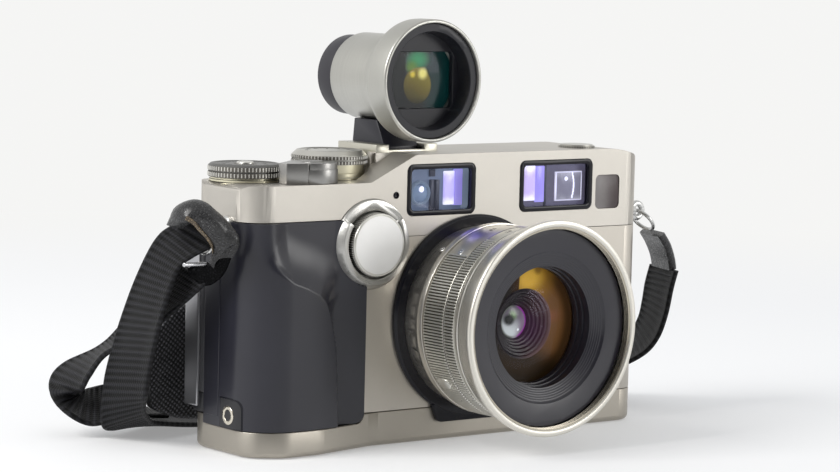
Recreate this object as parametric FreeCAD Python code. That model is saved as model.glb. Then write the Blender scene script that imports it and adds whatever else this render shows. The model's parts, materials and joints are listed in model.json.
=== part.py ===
"""Rangefinder film camera with a wide lens, an accessory finder and a neck strap.

Millimetres. +Z is up, the lens looks along -Y and +X is to the right seen from the front.
The origin is the centre of the tripod socket's mouth in the base.
"""
import FreeCAD, Part
import math
import os

from FreeCAD import Vector

X = Vector(1, 0, 0)
Y = Vector(0, 1, 0)
Z = Vector(0, 0, 1)
FAR = 200.0

# Body covers
BODY_WIDTH = 139.0
HALF = BODY_WIDTH / 2
FRONT_Y = -16.5
COVER_REAR_Y = 13.2
BAND_REAR_Y = 8.5
LOW_SEAM_Z = 9.4
HIGH_SEAM_Z = 57.7
SHOULDER_Z = 72.7
TOP_Z = 80.0
SLOPE_LOW_X = 39.2 - HALF
SLOPE_HIGH_X = 54.6 - HALF
SLOPE_REAR_Y = -5.0
RAISED_LEFT_X = 45.5 - HALF
WELL_GAP = 0.8
COVER_WALL = 1.2
CORNER_FRONT = 7.5
CORNER_REAR = 8.0
SEAM_GAP = 0.15
FIT_GAP = 0.05
RUNNING_GAP = 0.05
MOVING_GAP = 0.3

# Grip
GRIP_RIGHT_X = 38.0 - HALF
GRIP_TOP_Z = 63.0
GRIP_LOW_Z = 7.0
GRIP_PROUD = 1.8
GRIP_SIDE_Y = 4.0
GRIP_CORNER_R = 3.0
GRIP_SKIN_OUT = 0.6
SWELL_DEPTH = 3.4
SWELL_RIGHT_X = GRIP_RIGHT_X - 11.1
SWELL_TOP_Z = 57.0

# Lens axis and mount
LENS_X = 6.2
BARREL_R = 22.0
THROAT_R = BARREL_R - 1.5
TRIM_R = BARREL_R + 6.3
TRIM_PROUD = 1.5
FLANGE_R = BARREL_R + 2.3
LENS_Z = LOW_SEAM_Z + FLANGE_R + 0.9
MOUNT_BORE_R = BARREL_R - 0.4
RELEASE_PIN_R = 3.0
RELEASE_PIN_X = LENS_X + 27.0
RELEASE_PIN_Z = LENS_Z - 19.0
RELEASE_PIN_LONG = 4.6

# Film path
FILM_W = 36.0
FILM_H = 24.0
GATE_Y = 10.4
CARTRIDGE_X = HALF - 27.5
CARTRIDGE_Y = -1.5
CARTRIDGE_R = 13.0
TAKE_UP_X = 42.0 - HALF
TAKE_UP_Y = -1.0
TAKE_UP_R = 10.8
SPOOL_R = 7.0
CHAMBER_LOW_Z = 11.0
CHAMBER_HIGH_Z = 56.5
SHUTTER_FRONT_Y = 3.8
SHUTTER_REAR_Y = 7.8
SHUTTER_HALF = 21.0
HOUSING_EDGE_X = LENS_X - SHUTTER_HALF - 0.7
BLADE_THICK = 0.3
BLADE_HIGH = 12.4

# Batteries
CELL_R = 7.8
CELL_LONG = 27.0
CELL_X = 13.5 - HALF
CELL_Y = -5.6
CAP_R = 8.8

# Back door
DOOR_REAR_Y = 16.0
DOOR_WALL = 1.2
DOOR_LOW_Z = 9.8
DOOR_HIGH_Z = 57.3
HINGE_X = 2.2 - HALF
HINGE_Y = 6.6
KNUCKLE_R = 2.1
HINGE_PIN_R = 1.0
KNUCKLE_LOW_TOP = 15.0
KNUCKLE_HIGH_FOOT = 47.0
THUMB_REST_PROUD = 4.0
FILM_WINDOW = (CARTRIDGE_X - 6.0, CARTRIDGE_X + 6.0, 20.0, 47.0)

# Dials on the top
DIAL_POST_R = 2.0
EXPOSURE_X = 10.7 - HALF
EXPOSURE_Y = 2.6
EXPOSURE_R = 10.0
EXPOSURE_TOP = 77.6
EXPOSURE_ROWS_Z = 73.9
SHUTTER_DIAL_X = 38.5 - HALF
SHUTTER_DIAL_Y = 2.2
SHUTTER_DIAL_R = 10.4
SHUTTER_DIAL_TOP = 80.6
SHUTTER_ROWS_Z = 76.9
SWITCH_X = 24.6 - HALF
SWITCH_Y = -9.2
SWITCH_R = 7.0
SWITCH_TOP = 78.3
SWITCH_SEAM_Z = 76.5
RELEASE_R = 3.2
RELEASE_TOP = 78.7
DRIVE_X = HALF - 19.5
DRIVE_Y = -8.0
DRIVE_R = 5.3
FOCUS_X = LENS_X - 36.0
FOCUS_Z = 56.0
FOCUS_BEZEL_R = 12.4
FOCUS_BEZEL_FRONT_R = 11.0
FOCUS_BEZEL_PROUD = 2.6
FOCUS_DIAL_R = 8.6
FOCUS_DIAL_PROUD = 3.7
FOCUS_GAP = 0.7

# Windows
WINDOW_LOW_Z = LENS_Z + TRIM_R + 0.1
AF_WINDOW = (51.5 - HALF, 75.6 - HALF, WINDOW_LOW_Z, 77.4)
VIEW_WINDOW = (HALF - 47.5, HALF - 20.4, WINDOW_LOW_Z - 0.25, 77.4)
LIGHT_WINDOW = (HALF - 19.1, HALF - 10.0, WINDOW_LOW_Z - 0.3, 72.5)
LAMP_X = 47.8 - HALF
LAMP_Z = 69.0
FRAME_WALL = 1.5
EYEPIECE = (HALF - 39.5, HALF - 23.5, 62.5, 76.5)
DIOPTER_X = HALF - 18.0
DIOPTER_Z = 69.5
DIOPTER_R = 3.6

# Lens rings
LENS_SEAT_Y = -18.0
TUBE_REAR_Y = -11.0
BASE_R = BARREL_R + 3.1
GRIP_RING_R = BARREL_R + 4.6
GRIP_BAND_Y = -27.9
GRIP_RING_FRONT_Y = -36.8
STOP_RING_FRONT_Y = -41.3
BARREL_WALL = 2.0
THREAD_R = 27.5
RIM_R = THREAD_R + 2.0
RIM_Y = -51.9
THREAD_LONG = 2.5
NAME_RING_R = THREAD_R - 0.6
NAME_RING_IN_R = 20.5
CONE_IN_R = 16.7
CONE_STEPS = 6
FRONT_GLASS_R = 15.9
GLASS_EDGE_Y = -41.1
GLASS_REAR_Y = -39.4
IRIS_Y = -31.0
IRIS_OPEN_R = 8.6
IRIS_PIVOT_R = 12.6
IRIS_PIN_R = 0.5
IRIS_BLADES = 5
IRIS_STEP = 0.4
IRIS_THICK = 0.2
IRIS_FRONT_Y = IRIS_Y - IRIS_BLADES * IRIS_STEP - 0.1

# Accessory finder
SHOE_W = 21.4
FINDER_X = SHUTTER_DIAL_X + SHUTTER_DIAL_R + 0.4 + SHOE_W / 2
FINDER_Z = 100.1
FINDER_RIM_Y = -16.3
FINDER_LONG = 40.0
FINDER_RIM_R = 17.0
FINDER_TUBE_R = 12.2
FINDER_EYE_R = 11.3
MASK_W = 22.0
MASK_H = 15.6
FOOT_W = 11.8
FOOT_DEEP = 15.1
FOOT_FRONT_Y = -2.3
SHOE_SLOT_W = 18.6
SHOE_LIP_W = 12.5
SHOE_FRONT_Y = -5.0
SHOE_REAR_Y = 13.0
SHOE_FLOOR_Z = 79.0
SHOE_SLOT_H = 2.1
SHOE_LIP_H = 0.9

# Mounts in the base
TRIPOD_R = 3.175
TRIPOD_DEEP = 6.0
BUSH_R = 5.5
SOCKET_Y = -8.0
SOCKET_Z = 10.8
SOCKET_RING_R = 2.6
SOCKET_BORE_R = 1.5

# Strap
STRAP_W = 20.0
STRAP_THICK = 1.5
LUG_LEFT = Vector(-HALF, -5.5, HIGH_SEAM_Z + 4.3)
LUG_RIGHT = Vector(HALF, -7.0, HIGH_SEAM_Z + 2.9)
LUG_R = 3.0
LUG_LONG = 4.2
LUG_POST_R = 2.2
LUG_SEAT = 1.3
RING_R = 3.9
RING_WIRE = 0.55
KEEPER_W = 15.0
KEEPER_THICK = 2.2
STRAP_SHIFT = HALF - 69.5
STRAP_FOLD_GAP = 0.6
PILE_X = -8.0
PILE_LONG = 58.0
PILE_Y = 40.0
PILE_LAYERS = 4
PAD_X = -2.0
PAD_LONG = 100.0
PAD_Y = 72.0
PAD_W = 36.0
PAD_THICK = 3.4

DOOR_FRONT_Y = BAND_REAR_Y + SEAM_GAP


def box(x0, x1, y0, y1, z0, z1):
    """A block between two corners."""
    return Part.makeBox(x1 - x0, y1 - y0, z1 - z0, Vector(x0, y0, z0))


def rod(radius, start, along, length):
    """A cylinder from a start point along a direction."""
    return Part.makeCylinder(radius, length, start, along)


def rounded(points):
    """A closed wire through (x, y, corner radius) points, in the XY plane."""
    count = len(points)
    starts = []
    ends = []
    arcs = []
    for index, (px, py, radius) in enumerate(points):
        corner = Vector(px, py, 0)
        before = Vector(*points[index - 1][:2], 0) - corner
        after = Vector(*points[(index + 1) % count][:2], 0) - corner
        before.normalize()
        after.normalize()
        half = before.getAngle(after) / 2
        if radius <= 0:
            starts.append(corner)
            ends.append(corner)
            arcs.append(None)
            continue
        reach = radius / math.tan(half)
        first = corner + before * reach
        last = corner + after * reach
        middle = before + after
        middle.normalize()
        top = corner + middle * (radius / math.sin(half) - radius)
        starts.append(first)
        ends.append(last)
        arcs.append(Part.Arc(first, top, last).toShape())
    edges = []
    for index in range(count):
        if arcs[index]:
            edges.append(arcs[index])
        start = ends[index]
        end = starts[(index + 1) % count]
        if start.distanceToPoint(end) > 1e-6:
            edges.append(Part.makeLine(start, end))
    return Part.Wire(edges)


def prism(points, low, high):
    """An outline in plan, drawn up from one height to another."""
    face = Part.Face(rounded(points))
    face.translate(Z * low)
    return face.extrude(Z * (high - low))


def plate(points, front, rear):
    """An outline of (x, z, corner radius) points seen from the front, with a depth along Y."""
    face = Part.Face(rounded(points))
    face.rotate(Vector(0, 0, 0), X, 90)
    face.translate(Y * front)
    return face.extrude(Y * (rear - front))


def window(limits, radius, front, rear, inset=0.0):
    """A round-cornered rectangle of (left, right, low, high), seen from the front."""
    left, right, low, high = limits
    left += inset
    right -= inset
    low += inset
    high -= inset
    corner = max(radius - inset, 0.3)
    outline = [(left, low, corner), (right, low, corner), (right, high, corner), (left, high, corner)]
    return plate(outline, front, rear)


def turned(points, origin, along, across):
    """A solid of revolution from (distance along the axis, radius) points."""
    corners = [origin + along * reach + across * radius for reach, radius in points]
    wire = Part.makePolygon(corners + [corners[0]])
    return Part.Face(wire).revolve(origin, along, 360)


def lens_turned(points):
    """A solid of revolution round the lens axis, from (y, radius) points."""
    return turned(points, Vector(LENS_X, 0, LENS_Z), Y, Z)


def fused(pieces):
    """One solid from pieces that overlap or touch face to face."""
    solid = pieces[0]
    for piece in pieces[1:]:
        solid = solid.fuse(piece)
    return solid.removeSplitter()


def moved(stations, shift):
    """Stations carried along X, so that the strap keeps its place at the body's end."""
    return [((middle[0] + shift, middle[1], middle[2]), wide, face) for middle, wide, face in stations]


def band(stations, width, thick):
    """A flat band through stations of (middle, width direction, face direction)."""
    wires = []
    for middle, wide, face in stations:
        wide = Vector(wide)
        wide.normalize()
        face = Vector(face)
        face.normalize()
        side = wide * (width / 2)
        up = face * (thick / 2)
        centre = Vector(middle)
        corners = [centre - side - up, centre + side - up, centre + side + up, centre - side + up]
        wires.append(Part.makePolygon(corners + [corners[0]]))
    return Part.makeLoft(wires, True, True)


def body_outline(rear, inset=0.0, rear_corner=CORNER_REAR):
    """The covers' plan outline, moved in by a wall where one is wanted."""
    side = HALF - inset
    front_corner = CORNER_FRONT - inset
    back_corner = max(rear_corner - inset, 0)
    return [
        (-side, FRONT_Y + inset, front_corner),
        (side, FRONT_Y + inset, front_corner),
        (side, rear - inset, back_corner),
        (-side, rear - inset, back_corner),
    ]


def top_profile(inset=0.0):
    """The top cover seen from the front: a low shoulder, a slope and the raised top."""
    side = HALF - inset
    return [
        (-side, HIGH_SEAM_Z - inset, 0),
        (side, HIGH_SEAM_Z - inset, 0),
        (side, TOP_Z - inset, 4.0 - inset),
        (SLOPE_HIGH_X, TOP_Z - inset, 3.0),
        (SLOPE_LOW_X, SHOULDER_Z - inset, 3.0),
        (-side, SHOULDER_Z - inset, 2.0 - inset / 2),
    ]


def cover_form(inset=0.0):
    """The top cover's solid form, with the raised part reaching round the shutter dial."""
    low = HIGH_SEAM_Z - inset
    raised = plate(top_profile(inset), FRONT_Y - 1, COVER_REAR_Y + 1)
    block = box(RAISED_LEFT_X + inset, 0, SLOPE_REAR_Y + inset, COVER_REAR_Y, low, TOP_Z - inset)
    plan = prism(body_outline(COVER_REAR_Y, inset), low - 1, TOP_Z + 1)
    form = raised.fuse(block).common(plan)
    foot = Vector(SHUTTER_DIAL_X, SHUTTER_DIAL_Y, SHOULDER_Z - inset)
    return form.cut(rod(SHUTTER_DIAL_R + WELL_GAP + inset, foot, Z, FAR))


def focus_hole(front, rear):
    """The round seat of the focus dial's bezel."""
    centre = Vector(FOCUS_X, front, FOCUS_Z)
    return rod(FOCUS_BEZEL_R + FIT_GAP, centre, Y, rear - front)


def grip_space(gap=0.0):
    """The corner of the covers that the grip takes, with a rounded lower right corner."""
    right = GRIP_RIGHT_X + gap
    low = GRIP_LOW_Z - gap
    high = GRIP_TOP_Z + gap
    outline = [(-FAR, low, 0), (right, low, GRIP_CORNER_R), (right, high, 0), (-FAR, high, 0)]
    return plate(outline, -FAR, GRIP_SIDE_Y - gap)


def top_cover():
    """The top shell with its windows, dial wells, shoe pocket and eyepiece opening."""
    shell = cover_form().cut(cover_form(COVER_WALL))
    shoe_left = FINDER_X - SHOE_W / 2
    shoe_right = FINDER_X + SHOE_W / 2
    pocket_z = SHOE_FLOOR_Z - 0.8
    seat = box(
        shoe_left - 0.8, shoe_right + 0.8, SHOE_FRONT_Y - 0.8, COVER_REAR_Y - 0.5,
        pocket_z - 1.0, TOP_Z - 0.2,
    )
    shell = shell.fuse(seat)
    pocket = box(shoe_left - FIT_GAP, shoe_right + FIT_GAP, SHOE_FRONT_Y - FIT_GAP, FAR, pocket_z, FAR)
    shell = shell.cut(pocket)
    cuts = [
        rod(SHUTTER_DIAL_R + WELL_GAP, Vector(SHUTTER_DIAL_X, SHUTTER_DIAL_Y, SHOULDER_Z), Z, 20),
        grip_space(),
        focus_hole(FRONT_Y - 5, FRONT_Y + 5),
        rod(FLANGE_R + FIT_GAP, Vector(LENS_X, FRONT_Y - 1, LENS_Z), Y, 5),
        rod(LUG_POST_R + RUNNING_GAP, LUG_RIGHT - X * 3, X, 8),
        rod(LUG_POST_R + RUNNING_GAP, LUG_LEFT - X * 5, X, 8),
        window(AF_WINDOW, 2.0, FRONT_Y - 1, FRONT_Y + 4),
        window(VIEW_WINDOW, 2.0, FRONT_Y - 1, FRONT_Y + 4),
        window(LIGHT_WINDOW, 1.5, FRONT_Y - 1, FRONT_Y + 4),
        window(EYEPIECE, 2.5, COVER_REAR_Y - 4, COVER_REAR_Y + 1),
        rod(1.0, Vector(LAMP_X, FRONT_Y - 1, LAMP_Z), Y, 4),
        rod(DIAL_POST_R + RUNNING_GAP, Vector(EXPOSURE_X, EXPOSURE_Y, SHOULDER_Z - 4), Z, 8),
        rod(DIAL_POST_R + RUNNING_GAP, Vector(SHUTTER_DIAL_X, SHUTTER_DIAL_Y, SHOULDER_Z - 4), Z, 8),
        rod(4.0 + RUNNING_GAP, Vector(SWITCH_X, SWITCH_Y, SHOULDER_Z - 4), Z, 8),
        rod(DRIVE_R + RUNNING_GAP, Vector(DRIVE_X, DRIVE_Y, TOP_Z - 4), Z, 8),
        rod(1.5 + RUNNING_GAP, Vector(DIOPTER_X, COVER_REAR_Y - 4, DIOPTER_Z), Y, 8),
    ]
    for cut in cuts:
        shell = shell.cut(cut)
    return shell.removeSplitter()


def front_cover():
    """The front plate and the right end wall of the body."""
    low = LOW_SEAM_Z + SEAM_GAP
    high = HIGH_SEAM_Z - SEAM_GAP
    outer = prism(body_outline(BAND_REAR_Y, 0.0, 0.0), low, high)
    inner = prism(body_outline(BAND_REAR_Y + 5, COVER_WALL, 0.0), low - 1, high + 1)
    shell = outer.cut(inner)
    shell = shell.cut(box(-FAR, GRIP_RIGHT_X, -FAR, FAR, 0, FAR))
    shell = shell.cut(rod(FLANGE_R + FIT_GAP, Vector(LENS_X, FRONT_Y - 1, LENS_Z), Y, 5))
    shell = shell.cut(focus_hole(FRONT_Y - 5, FRONT_Y + 5))
    slot = box(HALF - 3, HALF + 1, -1.5, 4.5, 25.0, 41.0)
    shell = shell.cut(slot)
    button = rod(RELEASE_PIN_R + RUNNING_GAP, Vector(RELEASE_PIN_X, FRONT_Y - 1, RELEASE_PIN_Z), Y, 5)
    return shell.cut(button).removeSplitter()


def bottom_outline(inset=0.0):
    """The bottom cover's plan, which swells out under the grip."""
    side = HALF - inset
    front = FRONT_Y + inset
    return [
        (side, COVER_REAR_Y - inset, CORNER_REAR - inset),
        (-side, COVER_REAR_Y - inset, CORNER_REAR - inset),
        (-side, -15.5 + inset, 8.0 - inset),
        (8.5 - HALF + inset / 2, -21.3 + inset, 9.0),
        (20.5 - HALF, -21.3 + inset, 14.0),
        (GRIP_RIGHT_X + 3.5, front, 16.0),
        (side, front, CORNER_FRONT - inset),
    ]


def bottom_cover():
    """The base tray, with a rounded foot edge, the grip's seat and openings."""
    foot = 1.6
    outer = prism(bottom_outline(), 0, LOW_SEAM_Z)
    edges = [edge for edge in outer.Edges if edge.BoundBox.ZMax < 0.01]
    outer = outer.makeFillet(foot, edges)
    inner = prism(bottom_outline(COVER_WALL), COVER_WALL, LOW_SEAM_Z + 1)
    shell = outer.cut(inner)
    shell = shell.cut(grip_space())
    shell = shell.cut(box(-FAR, FAR, DOOR_FRONT_Y, FAR, DOOR_LOW_Z - 2 * SEAM_GAP, FAR))
    bush = rod(BUSH_R + FIT_GAP, Vector(0, 0, -1), Z, 5)
    cap = rod(CAP_R + RUNNING_GAP, Vector(CELL_X, CELL_Y, -1), Z, 5)
    return shell.cut(bush).cut(cap).removeSplitter()


def tripod_bush():
    """The threaded bush of the tripod socket, closed at its inner end."""
    post = rod(BUSH_R, Vector(0, 0, 0), Z, TRIPOD_DEEP + 1.2)
    flange = rod(BUSH_R + 2.0, Vector(0, 0, COVER_WALL), Z, 1.2)
    return post.fuse(flange).cut(rod(TRIPOD_R, Vector(0, 0, -1), Z, TRIPOD_DEEP + 1)).removeSplitter()


def battery_cap():
    """The round cap of the battery chamber, with its coin slot."""
    cap = rod(CAP_R, Vector(CELL_X, CELL_Y, 0.15), Z, COVER_WALL)
    rim = rod(CAP_R - 1.0, Vector(CELL_X, CELL_Y, 0.15), Z, COVER_WALL + 0.8)
    slot = box(CELL_X - 6.0, CELL_X + 6.0, CELL_Y - 0.8, CELL_Y + 0.8, 0, 0.95)
    return cap.fuse(rim).cut(slot).removeSplitter()


def batteries():
    """Two cells, one above the other."""
    cells = []
    for index in range(2):
        foot = 2.6 + index * (CELL_LONG + 0.2)
        cell = rod(CELL_R - 0.3, Vector(CELL_X, CELL_Y, foot), Z, CELL_LONG - 1.0)
        tip = rod(2.5, Vector(CELL_X, CELL_Y, foot + CELL_LONG - 1.0), Z, 0.9)
        cells.append(cell.fuse(tip).removeSplitter())
    return Part.makeCompound(cells)


def grip_section(height, depth, right):
    """One level of the palm swell, a bow in front of a straight back."""
    left = 3.5 - HALF
    back = FRONT_Y - GRIP_PROUD + 0.4
    start = Vector(right, back, height)
    middle = Vector((left + right) / 2 - 1.5, back - depth, height)
    end = Vector(left, back + 1.6, height)
    return Part.Wire([Part.Arc(start, middle, end).toShape(), Part.makeLine(end, start)])


def grip():
    """The moulded grip: a skin round the left end with a palm swell and a finger scoop."""
    proud = FRONT_Y - GRIP_PROUD
    side = HALF + GRIP_SKIN_OUT
    outline = [
        (GRIP_RIGHT_X, GRIP_SIDE_Y, 0),
        (-side, GRIP_SIDE_Y, 0),
        (-side, -15.0, 7.0),
        (6.5 - HALF, proud, 6.0),
        (GRIP_RIGHT_X, proud, 0.8),
    ]
    high = GRIP_TOP_Z - SEAM_GAP
    skin = prism(outline, GRIP_LOW_Z + SEAM_GAP, high)
    levels = [
        (GRIP_LOW_Z + SEAM_GAP, SWELL_DEPTH, SWELL_RIGHT_X),
        (22.0, SWELL_DEPTH + 0.3, SWELL_RIGHT_X),
        (33.0, SWELL_DEPTH, SWELL_RIGHT_X - 0.6),
        (41.0, SWELL_DEPTH - 0.9, SWELL_RIGHT_X - 4.0),
        (47.5, SWELL_DEPTH - 2.0, SWELL_RIGHT_X - 10.5),
        (SWELL_TOP_Z, 0.6, SWELL_RIGHT_X - 20.0),
    ]
    swell = Part.makeLoft([grip_section(*level) for level in levels], True, False)
    body = skin.fuse(swell).common(grip_space(-SEAM_GAP / 2))
    core = prism(body_outline(BAND_REAR_Y + 5, COVER_WALL, 0.0), 0, GRIP_TOP_Z + 5)
    body = body.cut(core)
    body = body.cut(box(-FAR, -HALF - 0.1, GRIP_SIDE_Y - 0.01, FAR, 0, FAR))
    body = body.cut(focus_hole(-FAR, FRONT_Y + 6))
    notch = rod(4.6, LUG_LEFT - X * 4, X, 8)
    seam = box(-side - 1, -side + 0.4, -3.7, -3.3, 0, FAR)
    socket = rod(SOCKET_RING_R + FIT_GAP, Vector(-FAR, SOCKET_Y, SOCKET_Z), X, FAR)
    clear = rod(KNUCKLE_R + 1.2, Vector(HINGE_X, HINGE_Y, 0), Z, FAR)
    return body.cut(notch).cut(seam).cut(socket).cut(clear).removeSplitter()


def casting():
    """The cast body: both film chambers, the lens throat and the film gate."""
    low = LOW_SEAM_Z + 0.2
    high = HIGH_SEAM_Z - 0.2
    inset = COVER_WALL + FIT_GAP
    block = prism(body_outline(BAND_REAR_Y + 5, inset, 0.0), low, high)
    block = block.cut(box(-FAR, FAR, BAND_REAR_Y, FAR, 0, FAR))
    gate_half = FILM_W / 2 + 6
    rail = box(LENS_X - gate_half, LENS_X + gate_half, BAND_REAR_Y, GATE_Y, LENS_Z - 17, LENS_Z + 17)
    block = block.fuse(rail)
    chamber = CHAMBER_HIGH_Z - CHAMBER_LOW_Z
    cuts = [
        rod(CARTRIDGE_R, Vector(CARTRIDGE_X, CARTRIDGE_Y, CHAMBER_LOW_Z), Z, chamber),
        box(
            CARTRIDGE_X - CARTRIDGE_R, CARTRIDGE_X + CARTRIDGE_R, CARTRIDGE_Y, FAR,
            CHAMBER_LOW_Z, CHAMBER_HIGH_Z,
        ),
        rod(TAKE_UP_R, Vector(TAKE_UP_X, TAKE_UP_Y, CHAMBER_LOW_Z), Z, chamber),
        box(
            TAKE_UP_X - TAKE_UP_R, TAKE_UP_X + TAKE_UP_R, TAKE_UP_Y, FAR,
            CHAMBER_LOW_Z, CHAMBER_HIGH_Z,
        ),
        rod(THROAT_R, Vector(LENS_X, -FAR, LENS_Z), Y, FAR + SHUTTER_FRONT_Y + 1),
        rod(FLANGE_R + FIT_GAP, Vector(LENS_X, -FAR, LENS_Z), Y, FAR + FRONT_Y + 3.0),
        box(
            LENS_X - SHUTTER_HALF, LENS_X + SHUTTER_HALF, SHUTTER_FRONT_Y, SHUTTER_REAR_Y + 0.1,
            low + 0.4, high + 1,
        ),
        box(LENS_X - FILM_W / 2, LENS_X + FILM_W / 2, 0, FAR, LENS_Z - FILM_H / 2, LENS_Z + FILM_H / 2),
        rod(CELL_R + 0.3, Vector(CELL_X, CELL_Y, 0), Z, FAR),
        rod(DIAL_POST_R + RUNNING_GAP, Vector(CARTRIDGE_X, CARTRIDGE_Y, CHAMBER_HIGH_Z - 1), Z, 5),
        rod(DIAL_POST_R + RUNNING_GAP, Vector(TAKE_UP_X, TAKE_UP_Y, low - 1), Z, 5),
        rod(KNUCKLE_R + 1.3, Vector(HINGE_X, HINGE_Y, 0), Z, FAR),
        focus_hole(-FAR, FRONT_Y + 6),
        box(HALF - 4.0, HALF, -1.5, 4.5, 25.0, 41.0),
        rod(RELEASE_PIN_R + 1.0, Vector(RELEASE_PIN_X, -FAR, RELEASE_PIN_Z), Y, FAR + FRONT_Y + 4.0),
        rod(SOCKET_RING_R + FIT_GAP, Vector(-FAR, SOCKET_Y, SOCKET_Z), X, FAR - HALF + 3.5),
    ]
    for cut in cuts:
        block = block.cut(cut)
    foot = KNUCKLE_LOW_TOP + 0.2
    head = KNUCKLE_HIGH_FOOT - 0.2
    knuckle = rod(KNUCKLE_R, Vector(HINGE_X, HINGE_Y, foot), Z, head - foot)
    arm = box(HINGE_X, HINGE_X + 6, HINGE_Y - 1.6, HINGE_Y + 0.4, foot, head)
    block = block.fuse(knuckle).fuse(arm)
    for lug in (LUG_LEFT, LUG_RIGHT):
        side = math.copysign(1.0, lug.x)
        outer = side * (HALF - LUG_SEAT)
        inner_x = outer - side * 3.0
        boss = box(min(outer, inner_x), max(outer, inner_x), lug.y - 2.5, lug.y + 4.0, high - 2.0, lug.z + 3.4)
        block = block.fuse(boss)
    pin = rod(HINGE_PIN_R + 0.02, Vector(HINGE_X, HINGE_Y, 0), Z, FAR)
    return block.cut(pin).removeSplitter()


def chassis():
    """The cast body but for its take-up end: the throat with its gate, and the cartridge end."""
    block = casting()
    right = LENS_X + SHUTTER_HALF + 0.7
    spans = ((HOUSING_EDGE_X, right), (right, FAR))
    return Part.makeCompound([block.common(box(start, end, -FAR, FAR, 0, FAR)) for start, end in spans])


def take_up_housing():
    """The cast end round the take-up spool: its two sides, floor, roof and front wall."""
    block = casting()
    near = TAKE_UP_X - TAKE_UP_R
    far = TAKE_UP_X + TAKE_UP_R
    parts = [
        box(-FAR, near, -FAR, FAR, 0, FAR),
        box(far, HOUSING_EDGE_X, -FAR, FAR, 0, FAR),
        box(near, far, -FAR, FAR, 0, CHAMBER_LOW_Z),
        box(near, far, -FAR, FAR, CHAMBER_HIGH_Z, FAR),
        box(near, far, -FAR, FAR, CHAMBER_LOW_Z, CHAMBER_HIGH_Z),
    ]
    return Part.makeCompound([block.common(part) for part in parts])


def hinge_pin():
    """The door's hinge pin."""
    return rod(HINGE_PIN_R, Vector(HINGE_X, HINGE_Y, DOOR_LOW_Z + 0.2), Z, DOOR_HIGH_Z - DOOR_LOW_Z - 0.4)


def back_door():
    """The back door tray with its thumb rest, hinge knuckles and plate bosses."""
    outline = body_outline(DOOR_REAR_Y)
    outer = prism(outline, DOOR_LOW_Z, DOOR_HIGH_Z)
    rims = [edge for edge in outer.Edges if edge.BoundBox.ZLength < 0.01 and edge.BoundBox.YMax > 10]
    outer = outer.makeFillet(0.8, rims)
    inner = prism(body_outline(DOOR_REAR_Y, DOOR_WALL), DOOR_LOW_Z + DOOR_WALL, DOOR_HIGH_Z - DOOR_WALL)
    root = DOOR_REAR_Y - 1
    ridge = DOOR_REAR_Y + THUMB_REST_PROUD
    profile = [(5.5 - HALF, root, 0), (29.5 - HALF, root, 0), (22.5 - HALF, ridge, 5.0), (11.5 - HALF, ridge, 5.0)]
    rest = prism(profile, 18.0, 52.0)
    tray = outer.fuse(rest).cut(inner)
    tray = tray.cut(box(-FAR, FAR, -FAR, DOOR_FRONT_Y, 0, FAR))
    tray = tray.cut(rod(KNUCKLE_R + 0.35, Vector(HINGE_X, HINGE_Y, 0), Z, FAR))
    spans = ((DOOR_LOW_Z, KNUCKLE_LOW_TOP), (KNUCKLE_HIGH_FOOT, DOOR_HIGH_Z))
    for low, high in spans:
        knuckle = rod(KNUCKLE_R, Vector(HINGE_X, HINGE_Y, low), Z, high - low)
        arm = box(HINGE_X - KNUCKLE_R, HINGE_X + 0.6, HINGE_Y, DOOR_FRONT_Y + 1.2, low, high)
        tray = tray.fuse(knuckle).fuse(arm)
    for side in (-1, 1):
        boss = rod(2.2, Vector(LENS_X + side * 22, 12.9, LENS_Z), Y, DOOR_REAR_Y - DOOR_WALL - 12.8)
        tray = tray.fuse(boss)
        tray = tray.cut(rod(1.2 + RUNNING_GAP, Vector(LENS_X + side * 22, 12.0, LENS_Z), Y, 2.6))
    window_hole = window(FILM_WINDOW, 2.0, DOOR_REAR_Y - 5, DOOR_REAR_Y + 1)
    tray = tray.cut(window_hole)
    tray = tray.cut(rod(HINGE_PIN_R + RUNNING_GAP, Vector(HINGE_X, HINGE_Y, 0), Z, FAR))
    return tray.removeSplitter()


def film_window():
    """The clear strip in the door that shows the cartridge."""
    pane = window(FILM_WINDOW, 2.0, DOOR_REAR_Y - 1.0, DOOR_REAR_Y - 0.2, FIT_GAP)
    flange = window(FILM_WINDOW, 2.0, DOOR_REAR_Y - DOOR_WALL - 0.6, DOOR_REAR_Y - DOOR_WALL, -1.0)
    step = window(FILM_WINDOW, 2.0, DOOR_REAR_Y - DOOR_WALL - 0.1, DOOR_REAR_Y - 1.0, FIT_GAP)
    return fused([pane, step, flange])


def pressure_plate():
    """The plate that holds the film flat, with two guide pins."""
    front = GATE_Y + 0.35
    body = window((LENS_X - 29, LENS_X + 29, LENS_Z - 16, LENS_Z + 16), 2.0, front, front + 1.0)
    for side in (-1, 1):
        pin = rod(1.2, Vector(LENS_X + side * 22, front + 0.8, LENS_Z), Y, 2.4)
        body = body.fuse(pin)
    return body.removeSplitter()


def take_up_spool():
    """The take-up spool with its film slot and flanges."""
    low = CHAMBER_LOW_Z + 0.3
    high = CHAMBER_HIGH_Z - 0.3
    centre = Vector(TAKE_UP_X, TAKE_UP_Y, low)
    core = rod(SPOOL_R, centre, Z, high - low)
    stub = rod(2.0, centre - Z * 1.4, Z, 2.0)
    body = core.fuse(stub)
    for foot in (low + 4.0, high - 6.0):
        body = body.fuse(rod(SPOOL_R + 0.8, Vector(TAKE_UP_X, TAKE_UP_Y, foot), Z, 2.0))
    slot = box(TAKE_UP_X - 0.8, TAKE_UP_X + 0.8, TAKE_UP_Y, FAR, low + 9.0, high - 9.0)
    return body.cut(slot).removeSplitter()


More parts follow.
